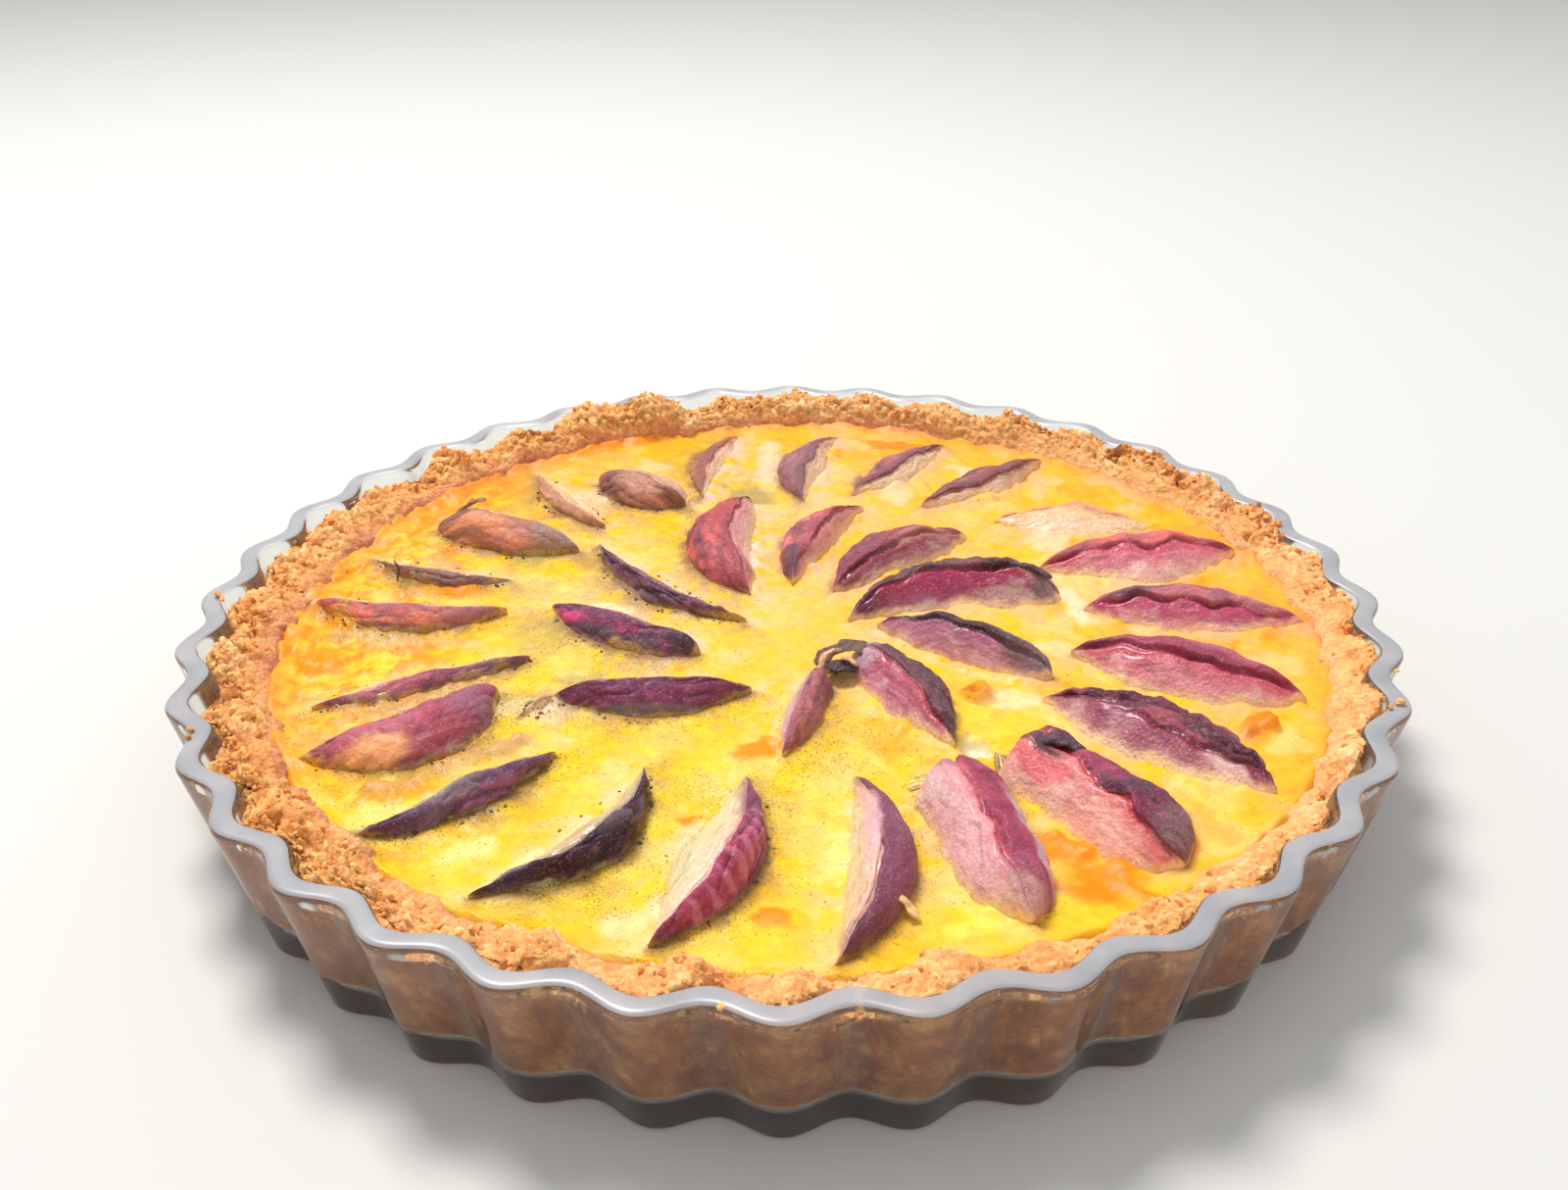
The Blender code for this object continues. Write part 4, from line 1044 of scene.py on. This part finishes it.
def dressed_slice(spec):
    """The slice's grid with its lip, crease, wrinkles and fibres, and its colours."""
    number = spec.number
    skin, dark, flesh, foot, lip, crease = (srgb(code) for code in spec.colours.split())
    lip_size, crease_size, wrinkle, over = spec.lip, spec.crease, spec.wrinkle, spec.over
    local, along, size = slice_grid(spec)
    step = np.linalg.norm(np.diff(local, axis=1, append=local[:, :1]), axis=-1)
    arc = np.cumsum(step, 1) - step
    arc = arc - arc[:, FLESH:FLESH + 1]
    flesh_foot = arc[:, :1]
    above = (np.arange(local.shape[1]) <= FLESH + SKIN)[None] + 0 * along
    flat = np.stack([local[..., 0], arc, 0 * arc + 20 * number], -1)
    along_only = flat * (1, 0, 1)
    warp = flat + 1.6 * np.stack([waves(flat, 6, 48), waves(flat, 5, 49), 0 * arc], -1)
    # The seam is where the skin ends on the flesh; it wanders and is nicked.
    slant = SLANTS.get(number, 0) * along
    seam = arc + (over * (1 + 0.6 * waves(along_only, 8, 46)) + slant) * size
    seam = seam + 0.5 * waves(flat, 3.4, 65) + 0.22 * waves(flat, 1.3, 66)
    uneven = 0.75 + 0.8 * waves(along_only, 6, 50)
    roll = np.exp(-((seam - 0.7) / np.where(seam > 0.7, 2.6, 0.5)) ** 2)
    groove = np.exp(-((seam + 0.35) / (0.35 + 0.25 * crease_size)) ** 2)
    lip_bump = uneven * (0.8 * lip_size * roll - 1.1 * crease_size * groove)
    folds = (1 - np.abs(waves(warp / (11, 2.6, 1), 1, 51))) ** 4
    small_folds = (1 - np.abs(waves(warp / (3.2, 2.2, 1), 1, 53))) ** 5
    skin_share = ease(seam, -0.1, 0.25)
    bump = wrinkle * skin_share * (0.6 * waves(flat, 4.5, 54) - 1.3 * folds - 0.7 * small_folds
                                   + 0.35 * waves(flat, 1.5, 69))
    fibres = 0.16 * waves(warp / (6, 0.9, 1), 1, 55) + 0.3 * fractal(flat, 5, 56)
    bump = bump + (1 - skin_share) * fibres
    bump = (bump + lip_bump) * ease(size, 0, 0.35) * above
    grid = laid(local + outward(local) * bump[..., None], spec)

    patchy = 0.5 + 0.8 * fractal(flat, 9, 57, 4)
    skin_colour = blend(skin, dark, 0.9 * ease(patchy, 0.3, 0.9))
    skin_colour = blend(skin_colour, skin * 1.7, 0.7 * ease(fractal(flat, 4, 58, 4), 0.12, 0.8))
    dusty = ease(fractal(flat, 3, 86, 4), 0.1, 0.7)
    skin_colour = blend(skin_colour, 0.5 * skin_colour + 0.5 * srgb("b8949c"), 0.36 * dusty)
    # Painted shade darkens the skin in its folds.
    fold_shade = (0.75 * folds + 0.5 * small_folds) * min(1, 2 * wrinkle)
    skin_colour = blend(skin_colour, dark * 0.6, fold_shade)
    down = np.clip(seam / np.minimum(flesh_foot, -0.1), 0, 1)
    flesh_colour = blend(flesh, foot, ease(down + 0.35 * fractal(flat, 6, 59), 0.1, 0.85))
    streak = waves(warp / (5, 0.7, 1), 1, 60)
    flesh_colour = blend(flesh_colour, flesh_colour * 0.72, ease(streak, 0.1, 0.9))
    pale = ease(fractal(flat, 4, 64, 4) + 0.4 * down, 0.3, 0.9)
    flesh_colour = blend(flesh_colour, "f4dccc", 0.34 * pale)
    colour = blend(flesh_colour, skin_colour, skin_share)
    below_lip = np.exp(-np.maximum(-seam - 0.3, 0) / 2.0) * (1 - skin_share)
    colour = blend(colour, crease * 1.5, 0.75 * below_lip * min(1, crease_size))
    # The groove under the lip is darkened with the crease's crimson: crimson flesh with painted
    # shadow in the groove.
    cut = groove * (1 - skin_share) * ease(size, 0.1, 0.5) * min(1, 1.4 * crease_size)
    colour = blend(colour, crease * 0.75, (0.6 + 0.5 * waves(along_only, 5, 82)) * cut)
    on_lip = ease(seam, 0, 0.25) * (1 - ease(seam, 1.2 + 0.8 * over, 3.2 + 0.8 * over))
    blotched = ease(fractal(flat, 6, 81, 4), 0.12, 0.4)
    colour = blend(colour, blend(lip, dark, 0.75 * blotched), 0.75 * on_lip)
    edge_line = np.exp(-((seam - 0.25) / 0.3) ** 2) * ease(waves(along_only, 5, 61), -0.6, 0.3)
    colour = blend(colour, dark * 0.7, 0.4 * edge_line * ease(size, 0.1, 0.4))
    tip = ease(np.abs(along), 0.88, 1.0) * (np.where(along > 0, spec.outer, spec.inner) < 0.45)
    colour = blend(colour, lip * 0.85, 0.6 * tip)
    frayed = 0.35 * fractal(flat, 5, 63)
    for at, off, half, wide, code, strength in STAINS.get(number, ()):
        far = np.sqrt(((along - at) / half) ** 2 + ((arc - off) / wide) ** 2)
        colour = blend(colour, code, strength * ease(1.25 - far + frayed, 0, 0.6))

    # The set film of custard ends on the slice in a ragged line, with dark specks along it.
    rise, film_colour, peppered = custard_at(grid[..., 0], grid[..., 1])
    above_film = grid[..., 2] - CUSTARD_LEVEL - rise
    ragged = fractal(flat, 7, 70) + 0.35 * fractal(flat, 1.6, 71)
    film_top = 0.2 + 0.3 * (1 - skin_share) + 0.9 * ease(np.abs(along), 0.78, 1) + 0.9 * ragged
    on_left = max(0, -np.cos(np.radians(spec.turn)) - 0.55) / 0.45 * skin_share
    film_top = film_top + on_left * (0.7 + 1.6 * ragged)
    film_colour = blend(film_colour, "d8a468", 0.45 * on_left)
    film_colour = blend(film_colour, "f4c8ac", 0.5 * (1 - skin_share))
    edge = film_top - above_film
    rind = np.exp(-(np.minimum(edge, 0) / 0.9) ** 2) * ease(waves(flat, 2.2, 67), -0.6, 0.3)
    grime = ramp(0.5 + 0.5 * waves(flat, 1.5, 68), "4c3834", "80645c", "b89c84")
    colour = blend(colour, grime, 0.6 * rind * skin_share)
    colour = blend(colour, "c09c74", 0.3 * rind * (1 - skin_share))
    veil = ease(edge, -1.6, 0.2) * (1 - skin_share)
    colour = blend(colour, 0.4 * film_colour + 0.6 * srgb("f4d0bc"), 0.4 * veil)
    film = ease(edge, -0.4 - 0.9 * (1 - skin_share), 0.5)
    colour = blend(colour, film_colour, 0.93 * film)
    left_side = max(0.25, min(1, 0.5 - np.cos(np.radians(spec.turn))))
    peppered = (np.clip(peppered, 0, 1) * film + 0.25 * rind) * left_side
    return grid, colour, skin_share * above * (1 - film), peppered


# Pale specks painted on the flesh stand for glints of light on its wet surface; bloomed
# specks lie on the skin and brown ones along the feet.
peach, shader, tree, flesh_and_skin = baked(
    "baked peach", "b05c60", 0.45, (700, 0.7), (1300.0, 4.0, 0.75, 0.0006),
    (0.12, 0.004, 0.0015, 0.001))
skinned = stored(tree, "skinned")
# Painted highlights: pale glints on the flesh.
specked = with_specks(tree, flesh_and_skin, sums(tree, "MULTIPLY_ADD", skinned, -0.14, 0.14),
                      (2600.0, 0.6, "ffeeea", 0.28))
specked = with_specks(tree, specked, sums(tree, "MULTIPLY", skinned, 0.3),
                      (2900.0, 0.7, "c8acb4", 0.22))
plug(shader, {
    "Base Color": with_specks(tree, specked, stored(tree, "peppered"), *BROWN_SPECKS),
    "Roughness": stretched(tree, skinned, {"To Min": 0.28, "To Max": 0.65}),
    "Coat Weight": stretched(tree, skinned, {"To Min": 0.4, "To Max": 0.06}),
    "Coat Roughness": 0.15, "Specular IOR Level": 0.3, "Sheen Weight": 0.05,
    "Sheen Roughness": 0.4, "Sheen Tint": (1.0, 0.86, 0.84, 1)})


def dress(made, colour, skinned, peppered, slot, *replaced):
    """Gives a piece of peach its colours, its share of skin, its specks and the material."""
    for layer, values in (("colour", colour), ("skinned", skinned), ("peppered", peppered)):
        paint(made, layer, values)
    place(made, peach, slot, *replaced)


for spec in SLICES:
    grid, *layers = dressed_slice(spec)
    name = "peach_slice_%02d" % spec.number if spec.number else "peach_shred"
    made = closed_shell("baked_" + name, grid)
    dress(made, *(with_poles(layer) for layer in layers), spec.slot, name)


# ---- torn bits -----------------------------------------------------------------------
# Curls of dried dark peel, a splinter of it, and the fibres of flesh torn from the stone,
# all small and stuck to the slices or set in the custard beside them.

# Each ribbon: its path in mm, its width and thickness, and its two colours.
PEEL_BITS = (
    (((48.0, -60.3, 32.4), (50, -61, 34.8), (53.5, -62.2, 36.2), (57, -63.8, 36.4), (60, -66, 35)),
     3.4, 1.8, "3a2430", "6a4a52"),
    (((6.8, -22, 28.6), (9, -19.6, 31), (13, -18.8, 32.2), (17.4, -20, 32.4), (20, -23, 31.8)),
     4.6, 1.4, "4c3838", "80604f"),
    (((56, 15.6, 35), (60.5, 13.6, 35.4), (64, 9.6, 34.2)), 2.2, 1.1, "442f34", "6c5054"),
    (((-90, 52, 27.4), (-88.8, 54, 31), (-85.5, 54.8, 34), (-81.5, 52.5, 34.8)),
     3.4, 1, "6a4038", "a4745c"),
    (((20.2, -103.2, 30.6), (22, -105, 29.8), (24.2, -106.8, 28.2)), 1.9, 1, "d8a868", "f0cc94"),
    (((-98.2, 19.1, 28), (-97.4, 20, 31), (-98.8, 20.6, 33.6)), 0.5, 0.5, "3a3028", "4a4034"),
)
FLESH_BITS = (
    (((7, -27, 29.6), (8, -23.6, 31.6), (10.2, -22, 32.6), (12.6, -22, 32.6)),
     1.6, 1.2, "a8704c", "dca880"),
    (((12.4, -23.6, 31.8), (14.4, -25, 32.4), (15.8, -27.4, 31.8)), 1.3, 1.0, "b07858", "dca484"),
    (((8.6, -24.2, 29.4), (12, -25, 30.4), (15.5, -26.5, 30.2)), 6, 1.8, "2c1c1c", "4c3430"),
) + tuple(
    (((43 + 0.95 * n, -66.5 + 0.5 * (n % 3), 25.6), (43.4 + 0.9 * n, -62.5, 27.4 + 0.3 * (n % 2)),
      (43.2 + 0.75 * n, -57.5 + 0.4 * (n % 2), 29.6 - 0.35 * n)), 1.3, 1.1,
     ("8a5c28", "b88c4c", "6a4420")[n % 3], ("b8904c", "dcb878", "946430")[n % 3])
    for n in range(6)) + tuple(
    (((22.4 + 0.4 * n, -64.6 - 1.1 * n, 26.7), (28.4, -63.4 - 1.05 * n, 27.5 + 0.3 * (n % 2)),
      (34.6, -60.4 - 1.2 * n, 28.3)), 1.3, 0.9,
     ("a07838", "dcb048", "e4bc58")[n % 3], ("d8b060", "ecc860", "f0d484")[n % 3])
    for n in range(8))


def ribbon(path, wide, thick, rows=40, sides=12):
    """Rows of a bent ribbon: an ellipse carried along a path whose corners are cut twice.

    It thins to its ends as the root of one minus the fourth power of the distance from its
    middle, and its edges are crumpled by waves.
    """
    path = np.array(path, float)
    for _ in range(2):
        near, far = path[:-1], path[1:]
        cut = np.stack([0.75 * near + 0.25 * far, 0.25 * near + 0.75 * far], 1).reshape(-1, 3)
        path = np.concatenate([path[:1], cut, path[-1:]])
    gone = np.concatenate([[0], np.cumsum(np.linalg.norm(np.diff(path, axis=0), axis=1))])
    share = np.linspace(0, 1, rows)
    spine = np.stack([np.interp(share * gone[-1], gone, path[:, n]) for n in range(3)], -1)
    ahead = np.gradient(spine, axis=0)
    ahead /= np.linalg.norm(ahead, axis=1, keepdims=True)
    side = np.cross(ahead, (0.05, 0.1, 1))
    side /= np.linalg.norm(side, axis=1, keepdims=True)
    above = np.cross(side, ahead)
    size = np.sqrt(1 - 0.96 * (2 * share - 1) ** 4)[:, None, None]
    bend = all_round(sides)[..., None]
    grid = (spine[:, None] + size * wide / 2 * np.cos(bend) * side[:, None]
            + size * thick / 2 * np.sin(bend) * above[:, None])
    crumple = drift(grid + spine[:1, None] * 3, 2.2, 90) + 0.5 * drift(grid, 1.1, 97)
    return grid + size * crumple * (0.12 * wide + 0.15)


def ribbons(name, table, skinned, slot):
    """One piece of all the ribbons in a table, each shaded from its first colour to its second."""
    points, faces, colours, count = [], [], [], 0
    for path, wide, thick, low, high in table:
        grid = ribbon(path, wide, thick)
        made, own = shell(grid)
        tone = 0.5 + 0.7 * fractal(made, 2.0, 94) + 0.3 * waves(made, 0.6, 96)
        colours.append(ramp(tone, low, high))
        faces += [tuple(corner + count for corner in face) for face in own]
        points.append(made)
        count += len(made)
    dress(piece(name, np.concatenate(points), faces), np.concatenate(colours),
          np.full(count, skinned), np.zeros(count), slot)


ribbons("curled_peel_bits", PEEL_BITS, 1.0, "plum")
ribbons("torn_flesh_fibres", FLESH_BITS, 0.0, "cream")


# ---- dark skin crumbs ----------------------------------------------------------------
# Scraps of scorched skin along the slices' feet, set in the custard.

SKIN_CRUMBS = 560
random = np.random.default_rng(91)
on_the_left = [n for n, spec in enumerate(SLICES) if 110 < spec.turn < 265]
picked = random.choice(on_the_left, SKIN_CRUMBS)
along = random.uniform(-1.0, 1.0, SKIN_CRUMBS)
centres = np.empty((SKIN_CRUMBS, 3))
for n, (which, at) in enumerate(zip(picked, along)):
    spec = SLICES[which]
    wide = spec.width / 2 * taper(np.array(at), spec.inner, spec.outer)[1]
    wide = wide + abs(random.normal(0.3, 0.8))
    side = 1 if random.random() < 0.8 else -1
    local = np.array((at * spec.length / 2, side * wide + spec.bow * (1 - at ** 2), 0.0))
    centres[n] = laid(local, spec)
centres[:, 2] += custard_at(centres[:, 0], centres[:, 1])[0]
sizes = 0.3 + 0.8 * random.random(SKIN_CRUMBS) ** 2
points, faces = lumps(centres, sizes, 92)
tone = np.repeat(random.random(SKIN_CRUMBS), LUMP_POINTS)
dress(piece("dark_skin_crumbs", points, faces.tolist()),
      ramp(tone, "4a3430", "6c5044", "8a6a4c", "a8885c"), np.ones(len(points)),
      np.zeros(len(points)), "plum")


# ---- floor, lights and camera --------------------------------------------------------
# A plain pale floor under soft daylight, with one soft box high behind the left side and a
# dim one in front, seen from a little above the dish's near side.

FLOOR_DROP = -0.0003            # keeps it clear of the dish's underside
floor_mesh = bpy.data.meshes.new("floor")
floor_mesh.from_pydata([(x, y, FLOOR_DROP) for x, y in ((-4, -4), (4, -4), (4, 4), (-4, 4))],
                       [], [(0, 1, 2, 3)])
floor = bpy.data.objects.new("floor", floor_mesh)
bpy.context.scene.collection.objects.link(floor)
floor.data.materials.append(finish("pale floor", "d2d0cc", 0.8)[0])

world = bpy.data.worlds.new("soft daylight")
world.use_nodes = True
plug(world.node_tree.nodes["Background"], {"Color": (0.94, 0.97, 1.0, 1), "Strength": 0.6})
bpy.context.scene.world = world


def lamp(name, at, towards, size, watts, colour):
    """A square area light of that size, aimed at a point, all in metres."""
    light = bpy.data.lights.new(name, "AREA")
    light.size = size
    light.energy = watts
    light.color = colour
    made = bpy.data.objects.new(name, light)
    made.location = at
    made.rotation_euler = (Vector(towards) - Vector(at)).to_track_quat("-Z", "Y").to_euler()
    bpy.context.scene.collection.objects.link(made)


lamp("overhead softbox", (-0.35, 0.45, 1.3), (0, 0, 0), 0.45, 21, (1.0, 0.98, 0.94))
lamp("front fill", (0.9, -1.4, 0.9), (0, 0, 0), 1.0, 4.2, (1.0, 0.98, 0.96))

EYE = Vector((2.98, -316.04, 208.57)) * MM
AIM = Vector((-1.13, 26.97, 20.0)) * MM
ROLL = np.radians(-0.29)
lens = bpy.data.cameras.new("camera")
lens.sensor_width = 36
lens.lens = 34.863
lens.clip_start = 0.01
camera = bpy.data.objects.new("camera", lens)
bpy.context.scene.collection.objects.link(camera)
looking = (AIM - EYE).to_track_quat("-Z", "Y").to_matrix()
camera.matrix_world = (Matrix.Translation(EYE)
                       @ (looking @ Matrix.Rotation(ROLL, 3, "Z")).to_4x4())
bpy.context.scene.camera = camera
